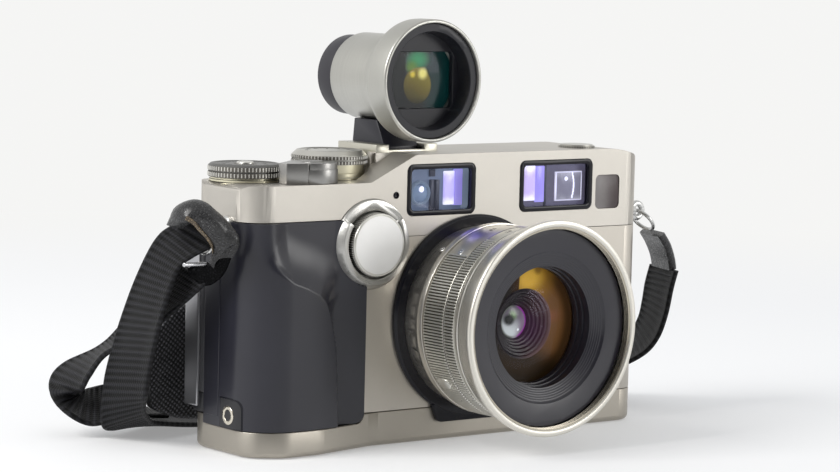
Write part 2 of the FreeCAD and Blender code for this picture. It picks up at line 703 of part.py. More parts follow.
def rewind_fork():
    """The fork that turns the film cartridge's spool."""
    roof = CHAMBER_HIGH_Z
    centre = Vector(CARTRIDGE_X, CARTRIDGE_Y, 0)
    shaft = rod(2.0, centre + Z * (roof - 5.0), Z, 5.8)
    disc = rod(3.6, centre + Z * (roof - 2.0), Z, 1.6)
    blade = box(-2.6, 2.6, -0.6, 0.6, roof - 6.0, roof - 1.0)
    blade.translate(centre)
    return fused([shaft, disc, blade])


def shutter_frame():
    """The focal-plane shutter's frame: two plates with guide edges between them."""
    gap = 0.1
    left = LENS_X - SHUTTER_HALF + gap
    right = LENS_X + SHUTTER_HALF - gap
    low = LOW_SEAM_Z + 0.7
    high = HIGH_SEAM_Z - 0.4
    body = box(left, right, SHUTTER_FRONT_Y + gap, SHUTTER_REAR_Y, low, high)
    slot = box(left + 1.6, right - 1.6, SHUTTER_FRONT_Y + 0.8, SHUTTER_REAR_Y - 0.6, low - 1, high - 1.0)
    gate = box(LENS_X - FILM_W / 2, LENS_X + FILM_W / 2, 0, FAR, LENS_Z - FILM_H / 2, LENS_Z + FILM_H / 2)
    return body.cut(slot).cut(gate)


def shutter_blade(index):
    """One blade of the shutter's first curtain; the blades stack below the gate."""
    drop = LENS_Z - FILM_H / 2 - 0.3 + index * (BLADE_HIGH - 0.4)
    front = SHUTTER_FRONT_Y + 1.1 + index * 0.7
    half = SHUTTER_HALF - 2.0
    return box(LENS_X - half, LENS_X + half, front, front + BLADE_THICK, drop, drop + BLADE_HIGH)


def mount_trim_ring():
    """The black ring round the lens, with a flat foot under it."""
    front = FRONT_Y - TRIM_PROUD
    bore = FLANGE_R + FIT_GAP
    ring = lens_turned([(FRONT_Y, TRIM_R), (FRONT_Y, bore), (front, bore), (front, TRIM_R - 0.6),
                        (front + 0.6, TRIM_R)])
    low = LENS_Z - TRIM_R - 1.1
    outline = [(LENS_X - 12.5, low, 2.0), (LENS_X + 12.5, low, 2.0), (LENS_X + 14.5, low + 5.0, 0),
               (LENS_X - 14.5, low + 5.0, 0)]
    foot = plate(outline, front + 0.2, FRONT_Y).cut(rod(bore, Vector(LENS_X, -FAR, LENS_Z), Y, FAR))
    return fused([ring, foot])


def mount_flange():
    """The steel flange of the lens mount."""
    rear = FRONT_Y + 2.95
    front = LENS_SEAT_Y
    return lens_turned([(rear, FLANGE_R), (rear, MOUNT_BORE_R), (front, MOUNT_BORE_R), (front, FLANGE_R)])


def focus_dial_bezel():
    """The raised ring round the focus dial, lowered along its top so that a finger reaches the dial."""
    origin = Vector(FOCUS_X, 0, FOCUS_Z)
    front = FRONT_Y - FOCUS_BEZEL_PROUD
    rear = FRONT_Y + 4.5
    bore = FOCUS_DIAL_R + FOCUS_GAP
    ring = turned([(rear, FOCUS_BEZEL_R), (rear, 3.0), (rear - 1.2, 3.0), (rear - 1.2, bore), (front + 0.4, bore),
                   (front, bore + 0.3), (front, FOCUS_BEZEL_FRONT_R), (FRONT_Y - 0.3, FOCUS_BEZEL_R)], origin, Y, Z)
    lowered = FRONT_Y - 0.9
    near = 30.0
    scoop = Part.Face(Part.makePolygon([
        Vector(0, 0, 0), Vector(near, 0, near * 0.8), Vector(near, 0, near * 2), Vector(-near, 0, near * 2),
        Vector(-near, 0, near * 0.7), Vector(0, 0, 0),
    ])).extrude(Y * -near)
    scoop.translate(origin + Y * lowered)
    return ring.cut(scoop).removeSplitter()


def focus_dial():
    """The focusing wheel: a rim behind a slightly domed face."""
    origin = Vector(FOCUS_X, FRONT_Y - FOCUS_DIAL_PROUD, FOCUS_Z)
    long = FOCUS_DIAL_PROUD + 2.9
    return turned([(0.0, 0.0), (0.0, FOCUS_DIAL_R - 0.5), (0.4, FOCUS_DIAL_R), (long, FOCUS_DIAL_R), (long, 2.95),
                   (long + 1.6, 2.95), (long + 1.6, 0.0)], origin, Y, Z)


def stacked_dial(centre, radius, top, rows_z, crown):
    """A dial of two gripped rows under a dished crown, on a smooth neck and a post."""
    foot = SHOULDER_Z + 0.15
    middle = (rows_z + top - crown) / 2
    groove = radius - 0.4
    return turned([
        (foot - 2.6, 0.0), (foot - 2.6, DIAL_POST_R), (foot, DIAL_POST_R), (foot, radius - 0.3),
        (foot + 0.5, radius - 0.3), (foot + 0.7, radius - 0.7), (rows_z, radius - 0.7), (rows_z, radius),
        (middle - 0.15, radius), (middle - 0.15, groove), (middle + 0.15, groove), (middle + 0.15, radius),
        (top - crown, radius), (top - 0.1, radius - crown), (top, radius - crown - 0.5),
        (top - 0.3, radius - crown - 1.2), (top - 0.3, 0.0),
    ], Vector(centre.x, centre.y, 0), Z, X)


def exposure_dial():
    """The exposure correction dial."""
    centre = Vector(EXPOSURE_X, EXPOSURE_Y, 0)
    dial = stacked_dial(centre, EXPOSURE_R, EXPOSURE_TOP, EXPOSURE_ROWS_Z, 0.6)
    bore = rod(2.4 + RUNNING_GAP, centre + Z * (EXPOSURE_TOP - 1.9), Z, 5)
    return dial.cut(bore).removeSplitter()


def exposure_button():
    """The lock button in the middle of the exposure dial."""
    centre = Vector(EXPOSURE_X, EXPOSURE_Y, EXPOSURE_TOP - 1.1)
    return turned([(0.0, 0.0), (0.0, 2.4), (1.2, 2.4), (1.5, 2.0), (1.5, 0.0)], centre, Z, X)


def shutter_dial():
    """The shutter speed dial, higher than its neighbour on a smooth neck."""
    centre = Vector(SHUTTER_DIAL_X, SHUTTER_DIAL_Y, 0)
    return stacked_dial(centre, SHUTTER_DIAL_R, SHUTTER_DIAL_TOP, SHUTTER_ROWS_Z, 1.3)


def power_switch():
    """The switch collar round the release button, with its faceted thumb block."""
    low = SHOULDER_Z + 0.15
    centre = Vector(SWITCH_X, SWITCH_Y, 0)
    collar = rod(SWITCH_R, centre + Z * low, Z, SWITCH_SEAM_Z - low)
    upper = rod(SWITCH_R - 0.2, centre + Z * low, Z, SWITCH_TOP - low)
    outline = [
        (SWITCH_X - 11.5, SWITCH_Y - 0.4, 0.8), (SWITCH_X - 10.7, SWITCH_Y - 3.2, 0.8),
        (SWITCH_X - 5.1, SWITCH_Y - 5.4, 0.2), (SWITCH_X - 3.6, SWITCH_Y - 3.0, 0), (SWITCH_X, SWITCH_Y, 0),
        (SWITCH_X - 3.6, SWITCH_Y + 5.3, 0),
    ]
    block = prism(outline, low, SWITCH_TOP)
    root = rod(4.0, centre + Z * (SHOULDER_Z - 2.5), Z, 3.0)
    notch = box(SWITCH_X - 5.0, SWITCH_X - 4.5, SWITCH_Y - 9.0, SWITCH_Y - 3.6, SWITCH_SEAM_Z, FAR)
    bore = rod(RELEASE_R + RUNNING_GAP, centre, Z, FAR)
    return fused([collar, upper, block, root]).cut(notch).cut(bore).removeSplitter()


def release_button():
    """The shutter release button, dished for the finger."""
    foot = Vector(SWITCH_X, SWITCH_Y, SHOULDER_Z - 2.0)
    height = RELEASE_TOP - foot.z
    return turned([(0.0, 0.0), (0.0, RELEASE_R), (height - 0.4, RELEASE_R), (height, RELEASE_R - 0.4),
                   (height - 0.5, 0.0)], foot, Z, X)


def drive_dial():
    """The drive mode dial, sunk in the top cover."""
    foot = Vector(DRIVE_X, DRIVE_Y, TOP_Z - 3.0)
    flange = rod(DRIVE_R - 0.5, foot, Z, 1.6)
    rim = rod(DRIVE_R - 0.1, foot + Z * 1.6, Z, 2.0)
    crown = rod(DRIVE_R - 0.6, foot + Z * 3.6, Z, 0.3)
    return fused([flange, rim, crown])


def window_frame(limits, inner):
    """A black moulded frame that fills a window opening."""
    outer = window(limits, 2.0, FRONT_Y - 0.25, FRONT_Y + 2.6, FIT_GAP)
    hole = window(inner, 1.2, FRONT_Y - 1, FRONT_Y + 4)
    step = window(inner, 1.2, FRONT_Y + 0.7, FRONT_Y + 4, -0.8)
    return outer.cut(hole).cut(step)


def inner_of(limits):
    """The clear opening inside a window frame."""
    left, right, low, high = limits
    return (left + FRAME_WALL, right - FRAME_WALL, low + FRAME_WALL, high - FRAME_WALL)


def window_glass(limits):
    """The pane behind a window frame."""
    return window(inner_of(limits), 1.2, FRONT_Y + 0.75, FRONT_Y + 1.75, -0.75)


def illumination_window():
    """The frosted window that lights the bright frame lines."""
    return window(LIGHT_WINDOW, 1.5, FRONT_Y + 0.15, FRONT_Y + 1.6, FIT_GAP)


def finder_optics():
    """The prism block that joins the windows to the eyepiece."""
    low = 64.0
    high = 76.8
    left = 53.5 - HALF
    right = HALF - 22.0
    cell = box(HALF - 45.5, right, FRONT_Y + 2.7, COVER_REAR_Y - 3.2, low, high)
    base = box(left, right, -12.0, -2.0, low - 4.0, low)
    mirror = box(left + 1.0, left + 19.0, -11.0, -3.0, low, high - 2.0)
    tunnel = window((HALF - 43.5, HALF - 24.0, low + 2.0, high - 2.0), 1.0, FRONT_Y, COVER_REAR_Y)
    foot = box(left + 10.0, right - 9.5, -8.0, -4.0, HIGH_SEAM_Z - 0.2, low - 4.0)
    return fused([cell.cut(tunnel), base, mirror, foot])


def eyepiece_frame():
    """The eyepiece surround on the back."""
    outer = window(EYEPIECE, 2.5, COVER_REAR_Y - 2.8, COVER_REAR_Y + 2.2, FIT_GAP)
    left, right, low, high = EYEPIECE
    opening = (left + 3.0, right - 3.0, low + 2.6, high - 2.6)
    step = window(opening, 1.5, COVER_REAR_Y - 4, COVER_REAR_Y + 0.6, -0.8)
    return outer.cut(window(opening, 1.5, COVER_REAR_Y - 4, COVER_REAR_Y + 3)).cut(step)


def eyepiece_lens():
    """The eyepiece glass."""
    left, right, low, high = EYEPIECE
    opening = (left + 3.0, right - 3.0, low + 2.6, high - 2.6)
    return window(opening, 1.5, COVER_REAR_Y - 1.6, COVER_REAR_Y + 0.55, -0.75)


def diopter_dial():
    """The eyesight correction wheel beside the eyepiece."""
    start = Vector(DIOPTER_X, COVER_REAR_Y + 0.15, DIOPTER_Z)
    wheel = rod(DIOPTER_R, start, Y, 1.6)
    post = rod(1.5, start - Y * 2.6, Y, 2.8)
    return fused([wheel, post])


def hot_shoe():
    """The accessory shoe: a floor and two lips, open to the rear."""
    left = FINDER_X - SHOE_W / 2
    right = FINDER_X + SHOE_W / 2
    low = SHOE_FLOOR_Z - 0.8
    body = box(left, right, SHOE_FRONT_Y, SHOE_REAR_Y, low, SHOE_FLOOR_Z + SHOE_SLOT_H + SHOE_LIP_H)
    half = SHOE_SLOT_W / 2
    roof = SHOE_FLOOR_Z + SHOE_SLOT_H
    slot = box(FINDER_X - half, FINDER_X + half, SHOE_FRONT_Y + 1.6, FAR, SHOE_FLOOR_Z, roof)
    lip = SHOE_LIP_W / 2
    mouth = box(FINDER_X - lip, FINDER_X + lip, -FAR, FAR, roof - 0.6, FAR)
    return body.cut(slot).cut(mouth)


def lens_base_ring():
    """The fixed rear barrel of the lens, with its grip band and the tube that enters the body."""
    bore = BARREL_R + 0.3
    seat = LENS_SEAT_Y
    edge = GRIP_RING_R + 0.1
    groove = GRIP_RING_R - 0.5
    grip_r = GRIP_RING_R - 0.15
    return lens_turned([
        (seat, BASE_R), (seat - 6.0, BASE_R + 0.3), (seat - 7.4, edge), (GRIP_BAND_Y + 0.4, edge),
        (GRIP_BAND_Y + 0.4, groove), (GRIP_BAND_Y, groove), (GRIP_BAND_Y, grip_r),
        (GRIP_RING_FRONT_Y, grip_r), (GRIP_RING_FRONT_Y, bore), (seat - 1.5, bore),
        (seat - 1.5, BARREL_R - 2.4), (TUBE_REAR_Y, BARREL_R - 4.4), (TUBE_REAR_Y, BARREL_R - 3.0),
        (seat, BARREL_R - 1.2),
    ])


def aperture_ring():
    """The aperture ring that turns round the front barrel."""
    rear = GRIP_RING_FRONT_Y - 0.2
    front = STOP_RING_FRONT_Y + 0.2
    bore = BARREL_R + RUNNING_GAP
    edge = GRIP_RING_R - 0.15
    return lens_turned([(rear, bore), (rear, edge), (front, edge), (front, bore)])


def lens_front_barrel():
    """The front barrel: a tube that carries the stop ring and flares to the filter rim."""
    inner = BARREL_R - BARREL_WALL
    iris_hole = IRIS_OPEN_R + 0.6
    neck = THREAD_R - 0.3
    profile = [
        (-20.0, BARREL_R), (-20.0, inner), (IRIS_Y + 0.8, inner), (IRIS_Y + 0.8, iris_hole),
        (IRIS_Y + 0.3, iris_hole), (IRIS_Y + 0.3, inner), (IRIS_FRONT_Y, inner),
        (IRIS_FRONT_Y, iris_hole), (IRIS_FRONT_Y - 0.5, iris_hole), (IRIS_FRONT_Y - 0.5, inner),
        (-44.4, inner), (-44.4, neck), (RIM_Y + THREAD_LONG, neck),
        (RIM_Y + THREAD_LONG, THREAD_R), (RIM_Y, THREAD_R), (RIM_Y, RIM_R - 0.2), (RIM_Y + 0.3, RIM_R),
        (RIM_Y + 1.1, RIM_R), (-42.2, GRIP_RING_R + 0.4), (-42.0, GRIP_RING_R - 0.2),
        (STOP_RING_FRONT_Y, GRIP_RING_R - 0.2), (STOP_RING_FRONT_Y, BARREL_R),
    ]
    barrel = lens_turned(profile)
    for index in range(IRIS_BLADES):
        angle = 2 * math.pi * index / IRIS_BLADES
        level = IRIS_Y - index * IRIS_STEP
        start = level if index else IRIS_Y + 0.4
        end = IRIS_FRONT_Y - 0.1 if index else level - IRIS_THICK
        foot = Vector(LENS_X + IRIS_PIVOT_R * math.cos(angle), start, LENS_Z + IRIS_PIVOT_R * math.sin(angle))
        barrel = barrel.fuse(rod(IRIS_PIN_R, foot, Y * -1, start - end))
    return barrel.removeSplitter()


def lens_name_ring():
    """The dark front ring with its stepped light trap cone and the cell that holds the front glass."""
    cone_y = -48.6
    throat_y = -47.2
    points = [(-49.3, NAME_RING_R), (-49.3, NAME_RING_R - 0.6), (-49.0, NAME_RING_IN_R + 0.4),
              (cone_y, NAME_RING_IN_R)]
    for index in range(CONE_STEPS):
        share = (index + 1) / CONE_STEPS
        radius = NAME_RING_IN_R + (CONE_IN_R - NAME_RING_IN_R) * share
        reach = cone_y + (throat_y - cone_y) * share
        points.append((reach, radius + 0.4))
        points.append((reach, radius))
    cell = FRONT_GLASS_R + 1.3 + FIT_GAP
    outer = BARREL_R - BARREL_WALL - 0.2
    points += [
        (-44.8, CONE_IN_R), (-44.8, CONE_IN_R - 0.4), (-43.0, CONE_IN_R - 0.4), (-43.0, FRONT_GLASS_R),
        (GLASS_EDGE_Y, FRONT_GLASS_R), (GLASS_EDGE_Y, cell), (GLASS_REAR_Y, cell), (GLASS_REAR_Y, outer),
        (-44.6, outer), (-44.6, NAME_RING_R),
    ]
    return lens_turned(points)


def lens_front_glass():
    """The front lens element, domed to the front and held behind the stepped cone."""
    rim = FRONT_GLASS_R + 1.3
    return lens_turned([
        (GLASS_REAR_Y, 0.0), (GLASS_REAR_Y, rim), (GLASS_EDGE_Y, rim), (GLASS_EDGE_Y, FRONT_GLASS_R - 0.1),
        (GLASS_EDGE_Y - 1.6, 13.6), (GLASS_EDGE_Y - 3.2, 10.2), (GLASS_EDGE_Y - 4.4, 6.4), (GLASS_EDGE_Y - 5.0, 3.0),
        (GLASS_EDGE_Y - 5.2, 0.0),
    ])


def iris_blade(index):
    """One iris blade: a crescent that swings in from a pin near the barrel's wall."""
    front = IRIS_Y - index * IRIS_STEP
    thick = IRIS_THICK
    outer = IRIS_OPEN_R + 6.2
    ring = Part.makeCylinder(outer, thick).cut(Part.makeCylinder(IRIS_OPEN_R, thick))
    wedge = Part.Face(Part.makePolygon([
        Vector(0, 0, 0), Vector(40, 0, 0), Vector(40, 40, 0), Vector(-14, 40, 0), Vector(0, 0, 0),
    ])).extrude(Z * thick)
    blade = ring.common(wedge)
    pivot = Vector(IRIS_PIVOT_R, 0, 0)
    blade = blade.fuse(Part.makeCylinder(1.3, thick, pivot))
    blade = blade.cut(Part.makeCylinder(IRIS_PIN_R + RUNNING_GAP, thick, pivot)).removeSplitter()
    turn = FreeCAD.Rotation(X, 90)
    spin = FreeCAD.Rotation(Y, -index * 360.0 / IRIS_BLADES)
    blade.Placement = FreeCAD.Placement(Vector(LENS_X, front, LENS_Z), spin.multiply(turn))
    return blade


def finder_turned(points):
    """A solid of revolution round the accessory finder's axis, from (y from the rim, radius) points."""
    return turned(points, Vector(FINDER_X, FINDER_RIM_Y, FINDER_Z), Y, Z)


def finder_barrel():
    """The accessory finder's silver barrel: a rim, a concave flare and a tube."""
    origin = Vector(FINDER_X, FINDER_RIM_Y, FINDER_Z)
    inner = 10.6
    collar = 8.2
    waist = 17.0
    flare = Part.Arc(origin + Y * collar + Z * (FINDER_RIM_R - 0.1), origin + Y * 11.0 + Z * 13.9,
                     origin + Y * waist + Z * FINDER_TUBE_R).toShape()
    rest = Part.makePolygon([
        origin + Y * waist + Z * FINDER_TUBE_R, origin + Y * 31.8 + Z * FINDER_TUBE_R, origin + Y * 31.8 + Z * inner,
        origin + Y * 10.0 + Z * inner, origin + Y * 8.6 + Z * (FINDER_RIM_R - 1.4),
        origin + Y * 0.0 + Z * (FINDER_RIM_R - 1.0), origin + Y * 0.0 + Z * (FINDER_RIM_R - 0.3),
        origin + Y * 0.4 + Z * FINDER_RIM_R, origin + Y * 6.6 + Z * FINDER_RIM_R,
        origin + Y * collar + Z * (FINDER_RIM_R - 0.1),
    ])
    barrel = Part.Face(Part.Wire([flare] + rest.Edges)).revolve(origin, Y, 360)
    half = FOOT_W / 2 + FIT_GAP
    seat = box(FINDER_X - half, FINDER_X + half, FOOT_FRONT_Y, FOOT_FRONT_Y + FOOT_DEEP,
               FINDER_Z - 20, FINDER_Z - FINDER_TUBE_R + 0.6)
    return barrel.cut(seat).removeSplitter()


def finder_mask():
    """The black front mask: a cone with a rectangular opening."""
    cone = finder_turned([(0.9, FINDER_RIM_R - 1.15), (0.9, 13.6), (7.4, 12.9), (7.4, FINDER_RIM_R - 1.5)])
    plate_in = finder_turned([(5.6, 0.0), (5.6, 13.4), (7.4, 13.4), (7.4, 0.0)])
    opening = (FINDER_X - MASK_W / 2, FINDER_X + MASK_W / 2, FINDER_Z - MASK_H / 2, FINDER_Z + MASK_H / 2)
    hole = window(opening, 1.5, FINDER_RIM_Y - 5, FINDER_RIM_Y + 20)
    return cone.fuse(plate_in).cut(hole).removeSplitter()


def finder_eyecup():
    """The rubber-faced eyecup at the rear of the accessory finder."""
    return finder_turned([(31.8, 9.0), (31.8, FINDER_EYE_R), (39.0, FINDER_EYE_R), (40.0, FINDER_EYE_R - 1.0),
                          (40.0, 7.6), (36.0, 7.0), (36.0, 8.0), (33.0, 8.0), (33.0, 9.0)])


def finder_lenses():
    """The accessory finder's front and rear lenses."""
    front = finder_turned([(8.0, 0.0), (8.0, 12.6), (9.1, 12.6), (9.1, 10.5), (12.0, 10.5), (11.0, 0.0)])
    rear = finder_turned([(33.1, 0.0), (33.1, 7.95), (35.6, 7.95), (35.9, 0.0)])
    return Part.makeCompound([front, rear])


def finder_foot():
    """The accessory finder's foot: a tapered block over the flange that slides in the shoe."""
    top = FINDER_Z - FINDER_TUBE_R + 0.5
    low = SHOE_FLOOR_Z + SHOE_SLOT_H + 0.1
    rear = FOOT_FRONT_Y + FOOT_DEEP
    side = Part.makePolygon([
        Vector(0, FOOT_FRONT_Y, low), Vector(0, rear, low), Vector(0, rear - 0.8, top),
        Vector(0, FOOT_FRONT_Y + 4.0, top), Vector(0, FOOT_FRONT_Y, low),
    ])
    block = Part.Face(side).extrude(X * FOOT_W)
    block.translate(X * (FINDER_X - FOOT_W / 2))
    half = SHOE_SLOT_W / 2 - 0.15
    neck = box(FINDER_X - FOOT_W / 2, FINDER_X + FOOT_W / 2, FOOT_FRONT_Y, rear, SHOE_FLOOR_Z + 0.5, low)
    flange = box(FINDER_X - half, FINDER_X + half, FOOT_FRONT_Y - 0.6, rear - 0.6,
                 SHOE_FLOOR_Z + 0.1, SHOE_FLOOR_Z + 1.5)
    return fused([block, neck, flange])


def sync_socket():
    """The flash lead socket in the grip's side."""
    body = rod(SOCKET_RING_R, Vector(-HALF - 0.9, SOCKET_Y, SOCKET_Z), X, 4.0)
    return body.cut(rod(SOCKET_BORE_R, Vector(-HALF - 2, SOCKET_Y, SOCKET_Z), X, 4.2))


def lens_release_button():
    """The button that frees the lens."""
    start = Vector(RELEASE_PIN_X, FRONT_Y - 2.2, RELEASE_PIN_Z)
    return turned([(0.0, 0.0), (0.0, RELEASE_PIN_R - 0.5), (0.5, RELEASE_PIN_R), (RELEASE_PIN_LONG, RELEASE_PIN_R),
                   (RELEASE_PIN_LONG, 0.0)], start, Y, Z)


def door_latch():
    """The sliding catch in the right end that frees the door."""
    knob = box(HALF - 0.9, HALF + 0.8, -1.2, 4.2, 28.5, 40.7)
    grooves = [box(HALF + 0.3, HALF + 1, -2, 5, 30.0 + index * 1.6, 30.7 + index * 1.6) for index in range(5)]
    for groove in grooves:
        knob = knob.cut(groove)
    flange = box(HALF - 2.2, HALF - 1.5, -1.2, 4.2, 28.5, 40.7)
    web = box(HALF - 1.6, HALF - 0.8, -1.2, 4.2, 28.5, 40.7)
    return fused([knob, web, flange])


def strap_lug(place, outward):
    """An eyelet that stands out from the end of the body."""
    start = Vector(outward * (HALF - LUG_SEAT), place.y, place.z)
    reach = LUG_LONG + LUG_SEAT
    post = turned([(0.0, 0.0), (0.0, LUG_POST_R), (LUG_SEAT + 0.8, LUG_POST_R), (LUG_SEAT + 1.4, 1.6), (reach, 1.6),
                   (reach, 0.0)], start, X * outward, Z)
    head = Part.makeTorus(LUG_R - 0.9, 0.9, place + X * outward * (LUG_LONG + 1.2), Y)
    return post.fuse(head).removeSplitter()


def split_ring(place, outward, lean):
    """The wire ring that hangs through an eyelet."""
    eye = place + X * outward * (LUG_LONG + 1.2)
    down = Vector(outward * math.cos(lean), 0, -math.sin(lean))
    return Part.makeTorus(RING_R, RING_WIRE, eye + down * RING_R, down.cross(Y))


def strap_lugs():
    """The two strap eyelets and the split rings that hang in them."""
    return Part.makeCompound([
        strap_lug(LUG_LEFT, -1),
        strap_lug(LUG_RIGHT, 1),
        split_ring(LUG_LEFT, -1, math.radians(75)),
        split_ring(LUG_RIGHT, 1, math.radians(48)),
    ])


def strap_keepers():
    """The two leather keepers that join the webbing to the rings."""
    left = [
        ((-79.2, -9.0, 54.6), (0.00, 0.95, 0.25), (-0.95, 0.0, 0.0)),
        ((-79.6, -8.0, 60.0), (0.05, 0.90, 0.30), (-0.95, 0.1, 0.1)),
        ((-80.8, -5.8, 66.0), (0.20, 0.85, 0.10), (-0.8, 0.1, 0.6)),
        ((-83.2, -3.4, 68.6), (0.25, 0.90, -0.10), (-0.2, 0.1, 0.9)),
        ((-87.4, -0.8, 66.6), (0.20, 0.90, -0.20), (0.6, 0.1, 0.7)),
        ((-88.8, 0.8, 62.8), (0.15, 0.90, -0.25), (0.95, 0.1, 0.1)),
    ]
    right = [
        ((80.9, -7.6, 53.8), (0.30, 0.95, 0.0), (0.7, 0.0, 0.7)),
        ((84.0, -7.0, 50.4), (0.30, 0.95, 0.0), (0.7, 0.0, 0.7)),
        ((86.8, -6.0, 46.4), (0.32, 0.94, 0.0), (0.85, 0.0, 0.5)),
        ((88.2, -5.4, 42.9), (0.33, 0.94, 0.0), (1.0, 0.0, 0.1)),
    ]
    near = band(moved(left, -STRAP_SHIFT), KEEPER_W, KEEPER_THICK)
    far = band(moved(right, STRAP_SHIFT), KEEPER_W, KEEPER_THICK)
    return Part.makeCompound([near, far])


def folded(start_x, reach, middle_y, layers, low):
    """Stations of webbing folded to and fro on the table, one layer over another."""
    stations = []
    pitch = STRAP_THICK + STRAP_FOLD_GAP
    for layer in range(layers):
        height = low + layer * pitch
        way = 1 if layer % 2 == 0 else -1
        near = start_x if way > 0 else start_x + reach
        far = start_x + reach if way > 0 else start_x
        stations.append(((near, middle_y, height), (0, 1, 0), (0, 0, way)))
        stations.append(((far, middle_y, height), (0, 1, 0), (0, 0, way)))
        if layer < layers - 1:
            turn = (far + way * pitch / 2, middle_y, height + pitch / 2)
            stations.append((turn, (0, 1, 0), (-1, 0, 0)))
    return stations


def strap_left():
    """The left webbing: down from the keeper, round on the table and folded behind the body; and its tail."""
    front = [
        ((-86.75, 0.9, 63.3), (0.15, 0.9, -0.25), (-0.95, -0.1, -0.1)),
        ((-85.9, 1.6, 57.6), (0.05, 1.0, -0.10), (-1.0, 0.0, -0.1)),
        ((-85.2, 3.0, 52.0), (0.0, 1.0, 0.10), (-1.0, 0.0, 0.0)),
        ((-86.0, 9.6, 43.6), (0.0, 1.0, -0.18), (-1.0, 0.0, 0.0)),
        ((-86.2, 14.6, 32.6), (0.0, 1.0, -0.20), (-1.0, 0.0, 0.0)),
        ((-85.6, 18.4, 22.4), (0.0, 1.0, -0.25), (-1.0, 0.0, 0.05)),
        ((-84.2, 19.4, 14.0), (0.0, 1.0, -0.25), (-0.95, 0.0, -0.25)),
        ((-81.6, 19.8, 8.2), (0.1, 1.0, -0.28), (-0.75, 0.0, -0.65)),
        ((-77.4, 21.2, 5.4), (0.15, 0.92, -0.38), (-0.2, -0.38, -0.92)),
        ((-70.6, 23.8, 4.9), (0.15, 0.92, -0.36), (0.0, -0.36, -0.92)),
        ((-56.0, 28.4, 3.4), (0.15, 0.97, -0.20), (0.0, -0.2, -0.97)),
        ((-36.0, 35.0, 1.4), (0.2, 1.0, 0.0), (0.0, 0.0, -1.0)),
    ]
    pile = folded(PILE_X, PILE_LONG, PILE_Y, PILE_LAYERS, 1.0)
    flipped = [(middle, wide, tuple(-part for part in face)) for middle, wide, face in pile]
    tail = [
        ((-81.2, -1.6, 56.4), (0.0, 0.95, 0.30), (-1.0, 0.0, 0.0)),
        ((-82.3, 1.4, 51.6), (0.0, 0.95, 0.32), (-1.0, 0.0, 0.0)),
        ((-82.4, 5.0, 46.0), (0.0, 0.92, 0.38), (-1.0, 0.0, 0.0)),
        ((-82.6, 16.0, 36.0), (0.0, 0.80, 0.60), (-1.0, 0.0, 0.0)),
        ((-82.8, 30.0, 27.8), (0.0, 0.45, 0.90), (-1.0, 0.0, 0.0)),
        ((-85.4, 41.0, 21.4), (0.0, 0.25, 0.95), (-0.8, 0.6, 0.0)),
        ((-91.0, 47.0, 15.4), (0.0, 0.15, 1.0), (-0.7, 0.7, 0.0)),
        ((-94.6, 46.6, 12.2), (0.0, 0.0, 1.0), (-0.9, -0.4, 0.0)),
        ((-92.6, 42.2, 10.6), (0.1, 0.1, 1.0), (-0.2, -1.0, 0.0)),
        ((-84.0, 39.8, 9.0), (0.1, 0.45, 0.82), (0.0, -0.8, 0.6)),
        ((-76.8, 40.4, 4.9), (0.1, 0.93, 0.34), (0.0, -0.34, 0.93)),
        ((-62.0, 43.0, 1.6), (0.1, 1.0, 0.03), (0.0, 0.0, 1.0)),
    ]
    run = band(moved(front, -STRAP_SHIFT) + flipped, STRAP_W, STRAP_THICK)
    loose_end = band(moved(tail, -STRAP_SHIFT), STRAP_W, STRAP_THICK)
    return Part.makeCompound([run, loose_end])


def strap_right():
    """The right webbing: out from the keeper, down past the body's end and back to the pad."""
    route = [
        ((88.21, -5.4, 42.8), (0.33, 0.94, 0.0), (1.0, 0.0, 0.1)),
        ((89.4, -2.2, 37.0), (0.33, 0.94, 0.0), (1.0, 0.0, 0.0)),
        ((88.8, -1.2, 30.0), (0.36, 0.92, 0.1), (1.0, 0.0, -0.1)),
        ((87.4, -0.2, 24.0), (0.42, 0.88, 0.2), (0.9, 0.0, -0.3)),
        ((86.6, 4.0, 18.6), (0.50, 0.82, 0.2), (0.8, -0.2, -0.5)),
        ((85.0, 12.0, 12.4), (0.70, 0.70, 0.1), (0.3, -0.5, -0.8)),
        ((82.6, 22.0, 6.0), (0.90, 0.40, 0.0), (0.1, -0.5, -0.8)),
        ((80.6, 33.0, 1.6), (0.98, 0.15, 0.0), (0.0, -0.1, -1.0)),
        ((80.0, PAD_Y - PAD_W / 2 - FIT_GAP, 1.2), (1.0, 0.0, 0.0), (0.0, 0.0, -1.0)),
    ]
    return band(moved(route, STRAP_SHIFT), STRAP_W, STRAP_THICK)


def strap_pad():
    """The woven shoulder pad, folded once on the table."""
    half = PAD_THICK / 2
    low = half + 0.2
    high = low + PAD_THICK + 1.0
    left = PAD_X
    right = PAD_X + PAD_LONG
    route = [
        ((left, PAD_Y, low), (0, 1, 0), (0, 0, 1)),
        ((right, PAD_Y, low), (0, 1, 0), (0, 0, 1)),
        ((right + 2.0, PAD_Y, (low + high) / 2 - 1.2), (0, 1, 0), (-0.8, 0, 0.6)),
        ((right + 2.0, PAD_Y, (low + high) / 2 + 1.2), (0, 1, 0), (-0.8, 0, -0.6)),
        ((right, PAD_Y, high), (0, 1, 0), (0, 0, -1)),
        ((left, PAD_Y, high), (0, 1, 0), (0, 0, -1)),
    ]
    return band(route, PAD_W, PAD_THICK)


